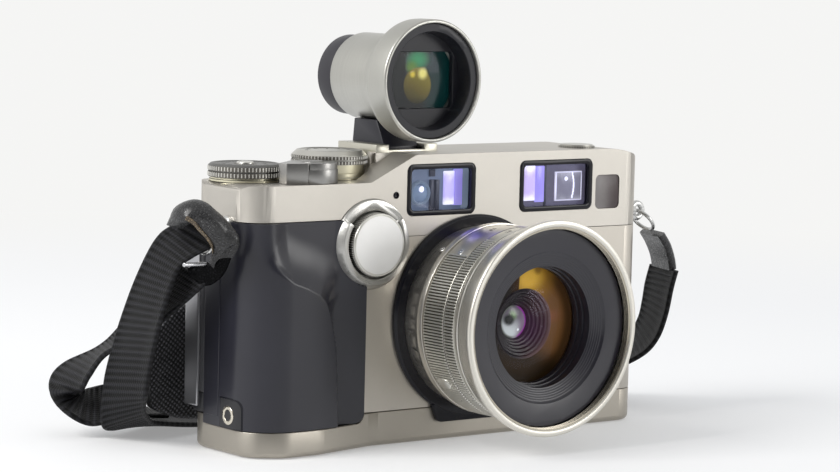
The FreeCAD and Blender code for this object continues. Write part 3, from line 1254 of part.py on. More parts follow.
NODES = {
    "top_cover": top_cover,
    "front_cover": front_cover,
    "bottom_cover": bottom_cover,
    "tripod_bush": tripod_bush,
    "battery_cap": battery_cap,
    "batteries": batteries,
    "grip": grip,
    "chassis": chassis,
    "take_up_housing": take_up_housing,
    "hinge_pin": hinge_pin,
    "back_door": back_door,
    "film_window": film_window,
    "pressure_plate": pressure_plate,
    "take_up_spool": take_up_spool,
    "rewind_fork": rewind_fork,
    "shutter_frame": shutter_frame,
    "mount_trim_ring": mount_trim_ring,
    "mount_flange": mount_flange,
    "focus_dial_bezel": focus_dial_bezel,
    "focus_dial": focus_dial,
    "exposure_dial": exposure_dial,
    "exposure_button": exposure_button,
    "shutter_dial": shutter_dial,
    "power_switch": power_switch,
    "release_button": release_button,
    "drive_dial": drive_dial,
    "illumination_window": illumination_window,
    "finder_optics": finder_optics,
    "eyepiece_frame": eyepiece_frame,
    "eyepiece_lens": eyepiece_lens,
    "diopter_dial": diopter_dial,
    "hot_shoe": hot_shoe,
    "lens_base_ring": lens_base_ring,
    "aperture_ring": aperture_ring,
    "lens_front_barrel": lens_front_barrel,
    "lens_name_ring": lens_name_ring,
    "lens_front_glass": lens_front_glass,
    "finder_barrel": finder_barrel,
    "finder_mask": finder_mask,
    "finder_eyecup": finder_eyecup,
    "finder_lenses": finder_lenses,
    "finder_foot": finder_foot,
    "sync_socket": sync_socket,
    "lens_release_button": lens_release_button,
    "door_latch": door_latch,
    "strap_lugs": strap_lugs,
    "strap_keepers": strap_keepers,
    "strap_left": strap_left,
    "strap_right": strap_right,
    "strap_pad": strap_pad,
}


def main():
    """Builds each sub-part and writes its STEP file."""
    os.makedirs("parts", exist_ok=True)
    shapes = {name: make() for name, make in NODES.items()}
    shapes["rangefinder_window_frame"] = window_frame(AF_WINDOW, inner_of(AF_WINDOW))
    shapes["rangefinder_window_glass"] = window_glass(AF_WINDOW)
    shapes["finder_window_frame"] = window_frame(VIEW_WINDOW, inner_of(VIEW_WINDOW))
    shapes["finder_window_glass"] = window_glass(VIEW_WINDOW)
    for index in range(2):
        shapes[f"shutter_blade_{index + 1}"] = shutter_blade(index)
    for index in range(IRIS_BLADES):
        shapes[f"iris_blade_{index + 1}"] = iris_blade(index)
    for name, shape in shapes.items():
        shape.exportStep(f"parts/{name}.step")
        print(name, len(shape.Solids), shape.isValid(), round(shape.Volume, 1))


main()
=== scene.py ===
"""Looks of a compact rangefinder film camera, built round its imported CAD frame.

Metres. +Z is up, the lens looks along -Y and +X is to the right seen from the front.
"""
from __future__ import annotations

import json
import logging
import math
from dataclasses import dataclass
from enum import Enum
from functools import partialmethod
from typing import Any, Callable, ClassVar, Sequence

import bmesh
import bpy
from mathutils import Matrix, Vector

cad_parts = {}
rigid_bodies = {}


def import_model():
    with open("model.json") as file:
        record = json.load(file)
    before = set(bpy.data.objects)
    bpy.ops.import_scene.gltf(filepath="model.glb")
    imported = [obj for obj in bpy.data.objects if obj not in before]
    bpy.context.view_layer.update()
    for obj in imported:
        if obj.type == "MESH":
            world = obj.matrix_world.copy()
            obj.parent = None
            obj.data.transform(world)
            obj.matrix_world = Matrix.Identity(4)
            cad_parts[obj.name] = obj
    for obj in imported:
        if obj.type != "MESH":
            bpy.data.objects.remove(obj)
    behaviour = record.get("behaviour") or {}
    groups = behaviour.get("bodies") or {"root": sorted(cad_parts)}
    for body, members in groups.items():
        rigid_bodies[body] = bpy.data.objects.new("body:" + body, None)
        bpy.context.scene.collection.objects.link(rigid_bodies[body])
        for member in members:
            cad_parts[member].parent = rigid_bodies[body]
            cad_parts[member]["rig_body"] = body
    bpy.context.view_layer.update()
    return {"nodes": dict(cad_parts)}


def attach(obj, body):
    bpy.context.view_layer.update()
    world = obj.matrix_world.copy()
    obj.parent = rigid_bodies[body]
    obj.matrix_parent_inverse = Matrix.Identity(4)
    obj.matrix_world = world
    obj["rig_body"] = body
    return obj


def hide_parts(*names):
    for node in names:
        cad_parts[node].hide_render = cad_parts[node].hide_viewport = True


LOG = logging.getLogger("camera")
MM = 0.001
Point = tuple[float, float, float]
Colour = tuple[float, float, float]
Profile = Sequence[tuple[float, float]]
Mesh = bpy.types.Mesh
Item = bpy.types.Object
Shape = bmesh.types.BMesh
Rounding = Callable[[Vector, Vector], float]
Shaper = Callable[[Shape], None]

LENS = Vector((6.2, 0.0, 34.6))
FINDER = Vector((-9.5, -16.3, 100.1))
FOCUS_DIAL = Vector((-29.8, 0.0, 56.0))
EXPOSURE_DIAL = Vector((-58.8, 2.6, 0.0))
SHUTTER_DIAL = Vector((-31.0, 2.2, 0.0))
FRONT_Y = -16.5
BODY = "camera_body"


class Axis(Enum):
    """The direction that a turned or arrayed piece faces."""

    FRONT = Matrix.Rotation(math.radians(90), 4, "X")
    UP = Matrix.Identity(4)
    LEFT = Matrix.Rotation(math.radians(-90), 4, "Y")


def clamped(share: float) -> float:
    """A share kept between 0 and 1."""
    return min(max(share, 0.0), 1.0)


def smooth_step(share: float) -> float:
    """A share between 0 and 1 that starts and ends softly."""
    return share * share * (3 - 2 * share)


# --------------------------------------------------------------------------- shaders


class Value:
    """A shader socket that joins in Python arithmetic."""

    def __init__(self, shader: Shader, socket: bpy.types.NodeSocket) -> None:
        """Keeps the socket and the shader it belongs to."""
        self.shader = shader
        self.socket = socket

    def _math(self, operation: str, other: Value | float, swap: bool = False) -> Value:
        """Adds one Math node between this value and another."""
        pair = (other, self) if swap else (self, other)
        return self.shader.add("ShaderNodeMath", {"operation": operation}, dict(enumerate(pair)))

    # Python operators, each adding one Math node.
    __add__ = partialmethod(_math, "ADD")
    __sub__ = partialmethod(_math, "SUBTRACT")
    __rsub__ = partialmethod(_math, "SUBTRACT", swap=True)
    __mul__ = partialmethod(_math, "MULTIPLY")
    __pow__ = partialmethod(_math, "POWER")
    sine = partialmethod(_math, "SINE", 0.0)

    def step(self, low: float, high: float, first: float = 0.0, last: float = 1.0) -> Value:
        """A smooth step from the first value at low to the last one at high."""
        return self.shader.add("ShaderNodeMapRange", {"interpolation_type": "SMOOTHSTEP"},
                               {"Value": self, "From Min": low, "From Max": high, "To Min": first, "To Max": last})


class Shader:
    """Builds the node tree of one material or world."""

    def __init__(self, holder: bpy.types.Material | bpy.types.World, output: str = "ShaderNodeOutputMaterial") -> None:
        """Starts a tree with nothing but its output."""
        holder.use_nodes = True
        self.tree = holder.node_tree
        self.tree.nodes.clear()
        self.output = self.tree.nodes.new(output)
        self._places: Value | None = None

    def add(self, kind: str, settings: dict[str, Any], inputs: dict[Any, Any], out: Any = 0) -> Value:
        """Adds one node.

        Args:
            kind: the node's type.
            settings: attributes of the node.
            inputs: values or links by socket name or number.
            out: the output to return, by name or number.

        Returns:
            The chosen output.
        """
        node = self.tree.nodes.new(kind)
        for key, setting in settings.items():
            setattr(node, key, setting)
        for key, given in inputs.items():
            socket = node.inputs[key]
            if isinstance(given, Value):
                self.tree.links.new(given.socket, socket)
            elif socket.type == "RGBA":
                socket.default_value = (*given, 1.0)
            else:
                socket.default_value = given
        return Value(self, node.outputs[out])

    def places(self) -> Value:
        """Object coordinates, in metres."""
        if self._places is None:
            self._places = self.add("ShaderNodeTexCoord", {}, {}, "Object")
        return self._places

    def parts(self, vector: Value) -> tuple[Value, Value, Value]:
        """The three parts of a vector."""
        outputs = self.add("ShaderNodeSeparateXYZ", {}, {0: vector}).socket.node.outputs
        return Value(self, outputs[0]), Value(self, outputs[1]), Value(self, outputs[2])

    def around(self, centre: Point = (0.0, 0.0, 0.0), unit: float = MM) -> tuple[Value, Value, Value]:
        """The three object coordinates about a centre in millimetres, counted in a unit in metres."""
        middle = tuple(Vector(centre) * MM)
        moved = self.add("ShaderNodeVectorMath", {"operation": "SUBTRACT"}, {0: self.places(), 1: middle})
        return self.parts(self.add("ShaderNodeVectorMath", {"operation": "MULTIPLY"}, {0: moved, 1: (1.0 / unit,) * 3}))

    def noise(self, scale: float, detail: float = 3.0, vector: Value | None = None) -> Value:
        """Noise of so many waves to the metre."""
        return self.add("ShaderNodeTexNoise", {}, {"Vector": vector or self.places(), "Scale": scale, "Detail": detail},
                        "Fac")

    def cells(self, scale: float, feature: str = "F1") -> Value:
        """Voronoi cells of so many to the metre."""
        return self.add("ShaderNodeTexVoronoi", {"feature": feature}, {"Vector": self.places(), "Scale": scale},
                        "Distance")

    def mix(self, factor: Value | float, first: Value | Colour, second: Value | Colour) -> Value:
        """One colour fading to another."""
        return self.add("ShaderNodeMix", {"data_type": "RGBA"}, {0: factor, 6: first, 7: second}, 2)

    def layers(self, tint: Value | Colour, *over: tuple[Value, Value | Colour]) -> Value:
        """A colour with others laid over it in turn, each by its own share."""
        for share, colour in over:
            tint = self.mix(share, tint, colour)
        return tint

    def bump(self, height: Value, strength: float, reach: float) -> Value:
        """A bumped normal from a height."""
        return self.add("ShaderNodeBump", {}, {"Height": height, "Strength": strength, "Distance": reach})

    def seen(self) -> Value:
        """Above 0 for rays from the camera, off gloss or through glass, and 0 for soft light."""
        camera, gloss, through = (self.add("ShaderNodeLightPath", {}, {}, f"Is {kind} Ray")
                                  for kind in ("Camera", "Glossy", "Transmission"))
        return camera + gloss + through

    def surface(self, **sockets: Any) -> Value:
        """A Principled surface, with spaces in socket names given as underscores."""
        inputs = {key.replace("_", " "): value for key, value in sockets.items()}
        return self.add("ShaderNodeBsdfPrincipled", {}, inputs)

    def lit(self, tint: Value, rough: float, glow: float, **sockets: Any) -> Value:
        """A Principled surface that gives off a share of its own colour."""
        return self.surface(Base_Color=tint, Roughness=rough, Emission_Color=tint, Emission_Strength=glow, **sockets)

    def done(self, surface: Value) -> None:
        """Joins the surface to the output."""
        self.tree.links.new(surface.socket, self.output.inputs[0])


@dataclass(frozen=True)
class Finish:
    """A surface finish, made into one material the first time it is used."""

    made: ClassVar[dict[str, bpy.types.Material]] = {}
    name: str
    colour: Colour
    rough: float = 0.45
    slot: str = ""

    def build(self, shader: Shader) -> Value:
        """The finish's nodes; each kind of finish has its own."""
        raise NotImplementedError

    def tone(self, share: float) -> Colour:
        """The finish's colour, darker or lighter by a share."""
        return tuple(share * c for c in self.colour)

    def material(self) -> bpy.types.Material:
        """The finish as a material of its own."""
        if self.name not in self.made:
            made = self.made[self.name] = bpy.data.materials.new(f"{self.name}_look")
            shader = Shader(made)
            shader.done(self.build(shader))
        return self.made[self.name]


@dataclass(frozen=True)
class SatinMetal(Finish):
    """Bead-blasted metal with a fine grain and faint handling marks."""

    metal: float = 0.9
    grain: float = 5200.0
    depth: float = 0.10

    def build(self, shader: Shader) -> Value:
        """Grain in the normal, broad clouds in colour and gloss."""
        fine = shader.noise(self.grain, 2.0)
        cloud = shader.noise(60.0, 4.0)
        rub = shader.noise(900.0, 5.0)
        tint = shader.mix(cloud.step(0.3, 0.75), self.tone(0.93), self.colour)
        tint = shader.mix(fine * 0.16, tint, self.tone(0.72))
        rough = (cloud - 0.5) * 0.10 + (rub - 0.5) * 0.10 + self.rough
        normal = shader.bump(fine, self.depth, 0.00004)
        return shader.surface(Base_Color=tint, Metallic=self.metal, Roughness=rough, Normal=normal)


@dataclass(frozen=True)
class TurnedMetal(Finish):
    """Metal turned on a lathe, with fine rings about an axis along Y, cut grooves painted dark as painted shade and a
    lilac patch of painted reflection.
    """

    centre: Point = tuple(LENS)
    metal: float = 0.92
    grooves: tuple[float, ...] = ()
    lilac: tuple[float, float] | None = None

    def build(self, shader: Shader) -> Value:
        """Rings by the distance from the axis and along it."""
        x, along, side = shader.around(self.centre, 1.0)
        radius = (x * x + side * side) ** 0.5
        rings = shader.add("ShaderNodeCombineXYZ", {}, {0: radius * 7000.0, 1: along * 9000.0, 2: 0.0})
        lines = shader.noise(1.0, 2.0, rings)
        cloud = shader.noise(70.0, 3.0)
        speck = shader.noise(5200.0, 2.0)
        tint = shader.mix(lines.step(0.3, 0.7), self.tone(0.86), self.colour)
        tint = shader.mix(speck.step(0.55, 0.8) * 0.35, tint, self.tone(0.62))
        height = lines * 0.4 + speck * 0.6
        # Each cut groove is painted dark, painted shade in the cut, and notched in the bump.
        for groove in self.grooves:
            gap = ((along - groove * MM) ** 2.0) ** 0.5
            cut = 1.0 - gap.step(0.00006, 0.00020)
            tint = shader.mix(cut, tint, self.tone(0.16))
            height = height - cut * 3.0
        # The lilac patch at one angle round the ring is a painted reflection of the violet coated windows.
        if self.lilac is not None:
            middle, width = self.lilac
            turn = shader.add("ShaderNodeMath", {"operation": "ARCTAN2"}, {0: side, 1: x})
            gap = ((turn - math.radians(middle)) ** 2.0) ** 0.5
            patch = (1.0 - gap.step(0.0, math.radians(width))) * 0.75
            tint = shader.mix(patch, tint, (0.30, 0.27, 0.62))
        rough = (lines - 0.5) * 0.16 + (cloud - 0.5) * 0.12 + self.rough
        normal = shader.bump(height, 0.12, 0.00004)
        return shader.surface(Base_Color=tint, Metallic=self.metal, Roughness=rough, Normal=normal)


@dataclass(frozen=True)
class Moulded(Finish):
    """Moulded plastic or rubber with a fine spark-eroded grain."""

    grain: float = 2600.0
    depth: float = 0.22
    coat: float = 0.0

    def build(self, shader: Shader) -> Value:
        """Grain, with a little sheen where hands have rubbed it."""
        fine = shader.noise(self.grain, 3.0)
        cloud = shader.noise(45.0, 4.0)
        tint = shader.mix(cloud.step(0.3, 0.7), self.colour, self.tone(1.25))
        rough = (cloud - 0.5) * 0.14 + self.rough
        normal = shader.bump(fine, self.depth, 0.00005)
        return shader.surface(Base_Color=tint, Roughness=rough, Normal=normal, Coat_Weight=self.coat,
                              Coat_Roughness=0.25)


@dataclass(frozen=True)
class Enamel(Finish):
    """Smooth black lacquer or anodising, with faint dust."""

    coat: float = 0.6
    shine: float = 0.5

    def build(self, shader: Shader) -> Value:
        """Lacquer with specks."""
        dust = shader.cells(1700.0)
        cloud = shader.noise(220.0, 4.0)
        tint = shader.mix((0.09 - dust).step(0.0, 0.05), self.colour, tuple(min(1.0, c + 0.05) for c in self.colour))
        rough = (cloud - 0.5) * 0.10 + self.rough
        return shader.surface(Base_Color=tint, Roughness=rough, Coat_Weight=self.coat, Coat_Roughness=0.12,
                              Specular_IOR_Level=self.shine)


@dataclass(frozen=True)
class Glass(Finish):
    """Coated glass: see-through, with a mirror gloss that grows towards grazing angles."""

    veil: float = 0.06
    gloss: Colour = (1.0, 1.0, 1.0)
    mirror: float = 0.9

    def build(self, shader: Shader) -> Value:
        """A clear part and a gloss part, mixed by Fresnel."""
        clear = shader.add("ShaderNodeBsdfTransparent", {}, {0: self.colour})
        shine = shader.add("ShaderNodeBsdfAnisotropic", {}, {"Color": self.gloss, "Roughness": self.rough})
        edge = shader.add("ShaderNodeFresnel", {}, {"IOR": 1.5})
        back = shader.add("ShaderNodeNewGeometry", {}, {}, "Backfacing")
        share = (edge * self.mirror + self.veil) * (1.0 - back)
        return shader.add("ShaderNodeMixShader", {}, {0: share, 1: clear, 2: shine})


@dataclass(frozen=True)
class Webbing(Finish):
    """Ribbed nylon webbing, by the band's own map in metres: U along, V across."""

    def build(self, shader: Shader) -> Value:
        """Yarns across and along, with fuzz, and the ribs painted lighter on their crests and darker in their valleys:
        painted highlight and painted shade.
        """
        uv = shader.add("ShaderNodeUVMap", {"uv_map": "band"}, {})
        along, across, _ = shader.parts(uv)
        rib = (along * 3141.6 + 1.5708).sine() * 0.5 + 0.5
        yarn = (across * 7200.0).sine() * 0.5 + 0.5
        pick = (along * 12566.0).sine() * 0.5 + 0.5
        fuzz = shader.noise(5200.0, 4.0)
        height = yarn * 0.40 + pick * 0.20 + fuzz * 0.55 + rib * 0.55
        # Rib crests lighter and rib valleys darker: painted highlight and painted shade over the weave.
        shade = (rib * 0.75 + yarn * pick * 0.35 + (fuzz - 0.5) * 0.9).step(0.1, 1.15)
        tint = shader.mix(shade, self.tone(0.20), self.tone(3.4))
        normal = shader.bump(height, 0.8, 0.00020)
        return shader.surface(Base_Color=tint, Roughness=self.rough, Normal=normal, Sheen_Weight=0.04,
                              Sheen_Roughness=0.4, Specular_IOR_Level=0.22)


@dataclass(frozen=True)
class Leather(Finish):
    """Glossy pebbled leather."""

    pebble: float = 1500.0
    gloss: float = 0.5

    def build(self, shader: Shader) -> Value:
        """Pebbles with creases between them, the creases painted darker as painted shade."""
        warp = shader.noise(380.0, 3.0)
        size = shader.cells(self.pebble, "DISTANCE_TO_EDGE")
        crease = size.step(0.0, 0.30)
        height = crease * 0.7 + warp * 1.6
        # Darker in the creases: painted shade.
        tint = shader.mix(crease, self.tone(0.4), self.tone(1.5))
        rough = (1.0 - crease) * 0.25 + self.rough
        normal = shader.bump(height, 0.9, 0.00045)
        return shader.surface(Base_Color=tint, Roughness=rough, Normal=normal, Coat_Weight=self.gloss,
                              Coat_Roughness=0.2, Specular_IOR_Level=self.gloss)


@dataclass(frozen=True)
class Woven(Finish):
    """Coarse cloth woven of round yarn, by the band's own map in metres."""

    pitch: float = 1.5

    def build(self, shader: Shader) -> Value:
        """Beads of yarn with dark gaps of painted shade, with fuzz."""
        uv = shader.add("ShaderNodeUVMap", {"uv_map": "band"}, {})
        along, across, _ = shader.parts(uv)
        turn = math.pi * 1000.0 / self.pitch
        bead = (((along + across) * turn).sine() * ((along - across) * turn).sine()) ** 2.0
        fuzz = shader.noise(3800.0, 3.0)
        # The dark gaps between the beads are painted shade.
        shade = (bead + (fuzz - 0.5) * 0.5).step(0.05, 0.85)
        tint = shader.mix(shade, self.tone(0.2), self.tone(2.2))
        return shader.surface(Base_Color=tint, Roughness=self.rough, Normal=shader.bump(bead, 0.8, 0.0004))


def spot(x: Value, z: Value, centre: tuple[float, float], near: float, far: float, squash: float = 1.0) -> Value:
    """A soft round spot on a face: 1 within near and 0 beyond far, in millimetres."""
    away = ((x - centre[0]) * squash) ** 2.0 + (z - centre[1]) ** 2.0
    return 1.0 - (away ** 0.5).step(near, far)


@dataclass(frozen=True)
class AmberPaintedReflection(Finish):
    """Painted reflections inside the front lens group, glowing a little: gold at its top, brown at its right and foot,
    nearly black elsewhere and darker near the rim as painted shade.
    """

    glow: float = 0.5

    def build(self, shader: Shader) -> Value:
        """Colours by the place round the lens axis."""
        x, _, z = shader.around(LENS)
        wave = (shader.noise(260.0, 3.0) - 0.5) * 2.2
        # Darker near the rim: painted shade of the barrel wall; the spots and the streak are painted highlights and
        # reflections.
        rim = ((x * x + z * z) ** 0.5).step(12.4, 15.6)
        streak = (1.0 - ((z - 1.6) ** 2.0).step(0.1, 5.0)) * x.step(5.0, 7.0) * (1.0 - x.step(8.0, 15.0))
        tint = shader.layers(
            (0.006, 0.004, 0.003), ((x * 0.85 + z * 0.25 + wave).step(-3.5, 9.5), (0.135, 0.062, 0.020)),
            ((z * -1.0 - x * 0.15 + wave).step(5.0, 12.0), (0.018, 0.009, 0.002)),
            (rim * 0.75, (0.012, 0.007, 0.003)),
            (spot(x, z, (3.0, 11.5), 1.5, 9.0) * x.step(-2.3, -1.8), (0.235, 0.120, 0.012)),
            (spot(x, z, (1.2, 12.4), 1.0, 5.2, 0.75) * x.step(-2.25, -1.9), (0.56, 0.335, 0.045)),
            (spot(x, z, (4.4, 14.9), 0.5, 2.0) * 0.8, (0.12, 0.06, 0.01)),
            (streak * 0.5, (0.24, 0.085, 0.05)),
            (spot(x, z, (6.4, 2.6), 0.3, 1.9, 0.8) * 0.9, (0.56, 0.24, 0.22)))
        return shader.lit(tint, 0.35, self.glow, Specular_IOR_Level=0.15)


@dataclass(frozen=True)
class PlumPaintedReflection(Finish):
    """Painted reflection on the stepped inner cell, glowing a little: dark plum, paler to its right."""

    glow: float = 0.45

    def build(self, shader: Shader) -> Value:
        """Plum by the place round the lens axis, with a darker line of painted shade at each step."""
        x, _, z = shader.around(LENS)
        radius = (x * x + z * z) ** 0.5
        line = (radius * 7.5).sine() * 0.5 + 0.5
        right = (x - z * 0.15).step(-2.0, 9.0)
        tint = shader.layers(
            (0.006, 0.004, 0.006), (right, (0.052, 0.024, 0.030)),
            (radius.step(8.6, 9.5) * right, (0.13, 0.075, 0.075)),
            (line.step(0.55, 0.95) * 0.3, (0.016, 0.010, 0.016)),
            (spot(x, z, (3.4, -1.6), 2.0, 6.5) * 0.45, (0.050, 0.014, 0.060)))
        return shader.lit(tint, 0.3, self.glow, Specular_IOR_Level=0.3)


@dataclass(frozen=True)
class PupilPaintedReflection(Finish):
    """Painted reflections on the small glass at the middle, glowing a little: a grey gleam low down, a dark pupil of
    painted shade, a green glint and a magenta rim.
    """

    glow: float = 0.55

    def build(self, shader: Shader) -> Value:
        """Colours by the place round the lens axis."""
        x, _, z = shader.around(LENS)
        ring = ((x * x + z * z) ** 0.5).step(3.7, 4.4)
        tint = shader.layers(
            (0.12, 0.105, 0.135), ((z * -1.0 - x * 0.25).step(-2.2, 3.4), (0.52, 0.56, 0.58)),
            ((x - z * 0.3).step(0.6, 3.6), (0.20, 0.15, 0.22)),
            (spot(x, z, (-0.5, 1.9), 0.3, 2.0), (0.13, 0.22, 0.10)),
            (spot(x, z, (-1.9, 0.7), 0.9, 2.1, 0.85), (0.008, 0.010, 0.010)),
            (spot(x, z, (1.4, -2.2), 0.1, 0.6), (0.85, 0.90, 0.95)),
            (ring * x.step(0.5, 2.5), (0.26, 0.02, 0.30)),
            (ring * (1.0 - x.step(-1.0, 1.5)), (0.10, 0.11, 0.10)))
        return shader.lit(tint, 0.2, self.glow)


@dataclass(frozen=True)
class FinderPaintedReflection(Finish):
    """Painted reflections on the accessory finder's inner element, glowing a little: green above, olive in the middle,
    two gleams and a teal side.
    """

    glow: float = 0.5

    def build(self, shader: Shader) -> Value:
        """Colours by the place in the finder's opening."""
        x, _, z = shader.around(FINDER)
        disc = spot(x, z, (0.4, -1.6), 4.6, 5.3, 1.05)
        warm = shader.mix((z * 0.6 + x * 0.3).step(-4.5, 3.0), (0.045, 0.035, 0.006), (0.20, 0.16, 0.022))
        tint = shader.layers(
            (0.004, 0.006, 0.006), (x.step(1.0, 6.0), (0.002, 0.022, 0.022)),
            (spot(x, z, (0.4, 5.6), 0.6, 3.6, 0.7), (0.015, 0.22, 0.075)),
            (spot(x, z, (-1.6, 3.6), 0.4, 2.4, 0.8), (0.07, 0.17, 0.012)),
            (disc, warm), (disc * (1.0 - z.step(-6.8, -4.6)) * 0.8, (0.010, 0.014, 0.006)),
            (spot(x, z, (-1.3, 1.5), 0.3, 1.3), (0.58, 0.46, 0.05)),
            (spot(x, z, (2.2, 1.7), 0.6, 2.2), (0.72, 0.66, 0.20)))
        return shader.lit(tint, 0.16, self.glow)


@dataclass(frozen=True)
class Gleam(Finish):
    """A face inside a window that glows as painted light, in colours of painted reflections: one colour in the middle,
    another towards its top and foot.
    """

    ends: Colour = (0.8, 0.8, 0.9)
    low: float = 65.0
    high: float = 75.5
    glow: float = 0.55

    def build(self, shader: Shader) -> Value:
        """Colours by height, clouded."""
        _, _, z = shader.around()
        cloud = (shader.noise(420.0, 3.0) - 0.5) * 1.1
        share = ((z + cloud * 3.0 - (self.low + self.high) / 2) * (2.0 / (self.high - self.low))) ** 2.0
        tint = shader.mix(share.step(0.12, 0.95), self.colour, self.ends)
        return shader.lit(tint, self.rough, self.glow)


@dataclass(frozen=True)
class FrostedPane(Finish):
    """A frosted grey-brown window, paler at its left."""

    left: float = 50.6
    right: float = 58.4

    def build(self, shader: Shader) -> Value:
        """A fade across, clouded, with a fine frost in the normal."""
        x, _, z = shader.around()
        cloud = (shader.noise(260.0, 3.0) - 0.5) * 2.4
        tint = shader.mix((x + cloud + z * 0.12 - 8.0).step(self.left, self.right), (0.29, 0.27, 0.265), self.colour)
        frost = shader.noise(4200.0, 3.0)
        return shader.surface(Base_Color=tint, Roughness=self.rough, Specular_IOR_Level=0.35,
                              Normal=shader.bump(frost, 0.12, 0.00004))


@dataclass(frozen=True)
class Paper(Finish):
    """White paper under the object: it keeps the object's shadow and goes over into the white backdrop."""

    near: float = 0.26
    far: float = 0.62

    def build(self, shader: Shader) -> Value:
        """Paper near the object, the backdrop's white away from it."""
        x, y, _ = shader.around((30.0, 30.0, 0.0), 1.0)
        away = ((x * x + y * y) ** 0.5).step(self.near, self.far)
        cloud = shader.noise(2.0, 2.0)
        tint = shader.mix(cloud.step(0.3, 0.8), self.colour, self.tone(0.985))
        paper = shader.surface(Base_Color=tint, Roughness=0.9, Specular_IOR_Level=0.1)
        tone = shader.mix(away, PAPER_WHITE, BACKDROP)
        white = shader.add("ShaderNodeEmission", {}, {"Color": tone, "Strength": 1.0})
        share = (away * 0.70 + 0.30) * shader.seen()
        return shader.add("ShaderNodeMixShader", {}, {0: share, 1: paper, 2: white})


BACKDROP = (0.915, 0.915, 0.905)
PAPER_WHITE = (0.98, 0.98, 0.98)
CHAMPAGNE = (0.590, 0.562, 0.515)
COVER = SatinMetal("cover_metal", CHAMPAGNE, 0.42, "cover_metal")
# The front cover and the bottom tray are darker copies of the cover metal: painted shade on the lower body.
SHADED_FRONT_METAL = SatinMetal("front_metal_painted_shade", (0.545, 0.512, 0.460), 0.42, "cover_metal")
SHADED_TRAY_METAL = SatinMetal("tray_metal_painted_shade", (0.430, 0.400, 0.350), 0.42, "cover_metal")
DIAL = SatinMetal("dial_metal", (0.60, 0.59, 0.55), 0.36, "dial_metal", grain=3000.0)
# The exposure dial takes a darker copy of the dial metal: painted shade on its top.
SHADED_DIAL_TOP = SatinMetal("dial_top_painted_shade", (0.18, 0.178, 0.172), 0.42, "dial_metal", grain=3600.0, depth=0.25)
KNURL = SatinMetal("knurl_metal", (0.74, 0.73, 0.69), 0.30, "dial_metal", grain=3000.0)
# The grounds between knurl and lens ridges are darkened: painted shade and dirt.
KNURL_GAP_SHADE_AND_DIRT = SatinMetal("knurl_gap_shade_and_dirt", (0.16, 0.15, 0.135), 0.5, "dial_metal", grain=3000.0)
SWITCH = SatinMetal("switch_metal", (0.33, 0.325, 0.315), 0.33, "dial_metal", grain=2600.0)
DIAL_FACE = SatinMetal("dial_face", (0.93, 0.93, 0.925), 0.55, "dial_metal", grain=6000.0)
BRASSY = SatinMetal("brassy_ring", (0.74, 0.70, 0.53), 0.32, "dial_metal")
BEZEL = TurnedMetal("bezel_metal", (0.50, 0.495, 0.475), 0.30, "cover_metal", centre=tuple(FOCUS_DIAL))
# Cut grooves on the lens metals are painted shade; the base ring's lilac patch is a painted reflection.
LENS_METAL = TurnedMetal("lens_metal", (0.68, 0.665, 0.62), 0.30, "lens_metal", grooves=(-25.1,))
BASE_METAL = TurnedMetal("base_metal", (0.74, 0.71, 0.65), 0.30, "lens_metal", grooves=(-28.05, -36.7),
                         lilac=(112.0, 11.0))
RIM_METAL = TurnedMetal("rim_metal", (0.75, 0.725, 0.66), 0.36, "lens_metal")
THREAD = TurnedMetal("thread_metal", (0.50, 0.46, 0.38), 0.24, "lens_metal")
RIDGE_METAL = SatinMetal("ridge_metal", (0.86, 0.85, 0.80), 0.30, "lens_metal", grain=3000.0)
RIDGE_GAP_SHADE_AND_DIRT = SatinMetal("ridge_gap_shade_and_dirt", (0.060, 0.054, 0.042), 0.5, "lens_metal", grain=3000.0)
FINDER_METAL = TurnedMetal("finder_metal", (0.52, 0.515, 0.48), 0.38, "lens_metal", centre=(-9.5, 0.0, 100.1))
STEEL = SatinMetal("bright_steel", (0.66, 0.66, 0.65), 0.24, "steel", grain=2500.0)
PIN_STEEL = SatinMetal("pin_steel", (0.62, 0.62, 0.64), 0.22, "steel", grain=1200.0, depth=0.03)
EDGE_LINE = SatinMetal("edge_line", (0.30, 0.30, 0.32), 0.25, "lens_metal", metal=1.0)
NICKEL = SatinMetal("nickel", (0.78, 0.73, 0.62), 0.22, "nickel", metal=1.0)
MOUNT = SatinMetal("mount_chrome", (0.75, 0.75, 0.74), 0.18, "mount_chrome", metal=1.0)
GRIP_SKIN = Moulded("grip_skin", (0.014, 0.014, 0.021), 0.33, "grip_rubber", coat=0.05)
BLACK_PLASTIC = Moulded("black_plastic", (0.012, 0.012, 0.014), 0.38, "black_plastic", grain=4000.0)
DOOR_SKIN = Moulded("door_skin", (0.014, 0.014, 0.017), 0.42, "door_metal")
DOOR_EDGE = SatinMetal("door_edge", (0.44, 0.44, 0.46), 0.34, "door_metal", grain=3600.0)
CASTING = Moulded("body_casting", (0.05, 0.05, 0.055), 0.55, "body_casting")
BLACK_GLOSS = Enamel("black_gloss", (0.008, 0.008, 0.012), 0.20, "black_metal", coat=0.08, shine=0.22)
NAME_RING = Enamel("dark_ring", (0.019, 0.018, 0.026), 0.34, "black_metal", coat=0.1, shine=0.50)
FINDER_BLACK = Enamel("finder_black", (0.013, 0.013, 0.018), 0.40, "black_metal", coat=0.1, shine=0.35)
FOOT_PAINT = Enamel("foot_paint", (0.012, 0.012, 0.018), 0.36, "foot_paint", coat=0.1, shine=0.35)
BLADE = Enamel("blade_black", (0.02, 0.02, 0.022), 0.45, "blade_metal", coat=0.1)
CELL = Enamel("cell_sleeve", (0.10, 0.12, 0.30), 0.35, "cell_case")
EYECUP = Moulded("eyecup_rubber", (0.018, 0.017, 0.023), 0.42, "eyecup_rubber")
FROSTED = FrostedPane("frosted_window", (0.070, 0.050, 0.050), 0.32, "frosted_window")
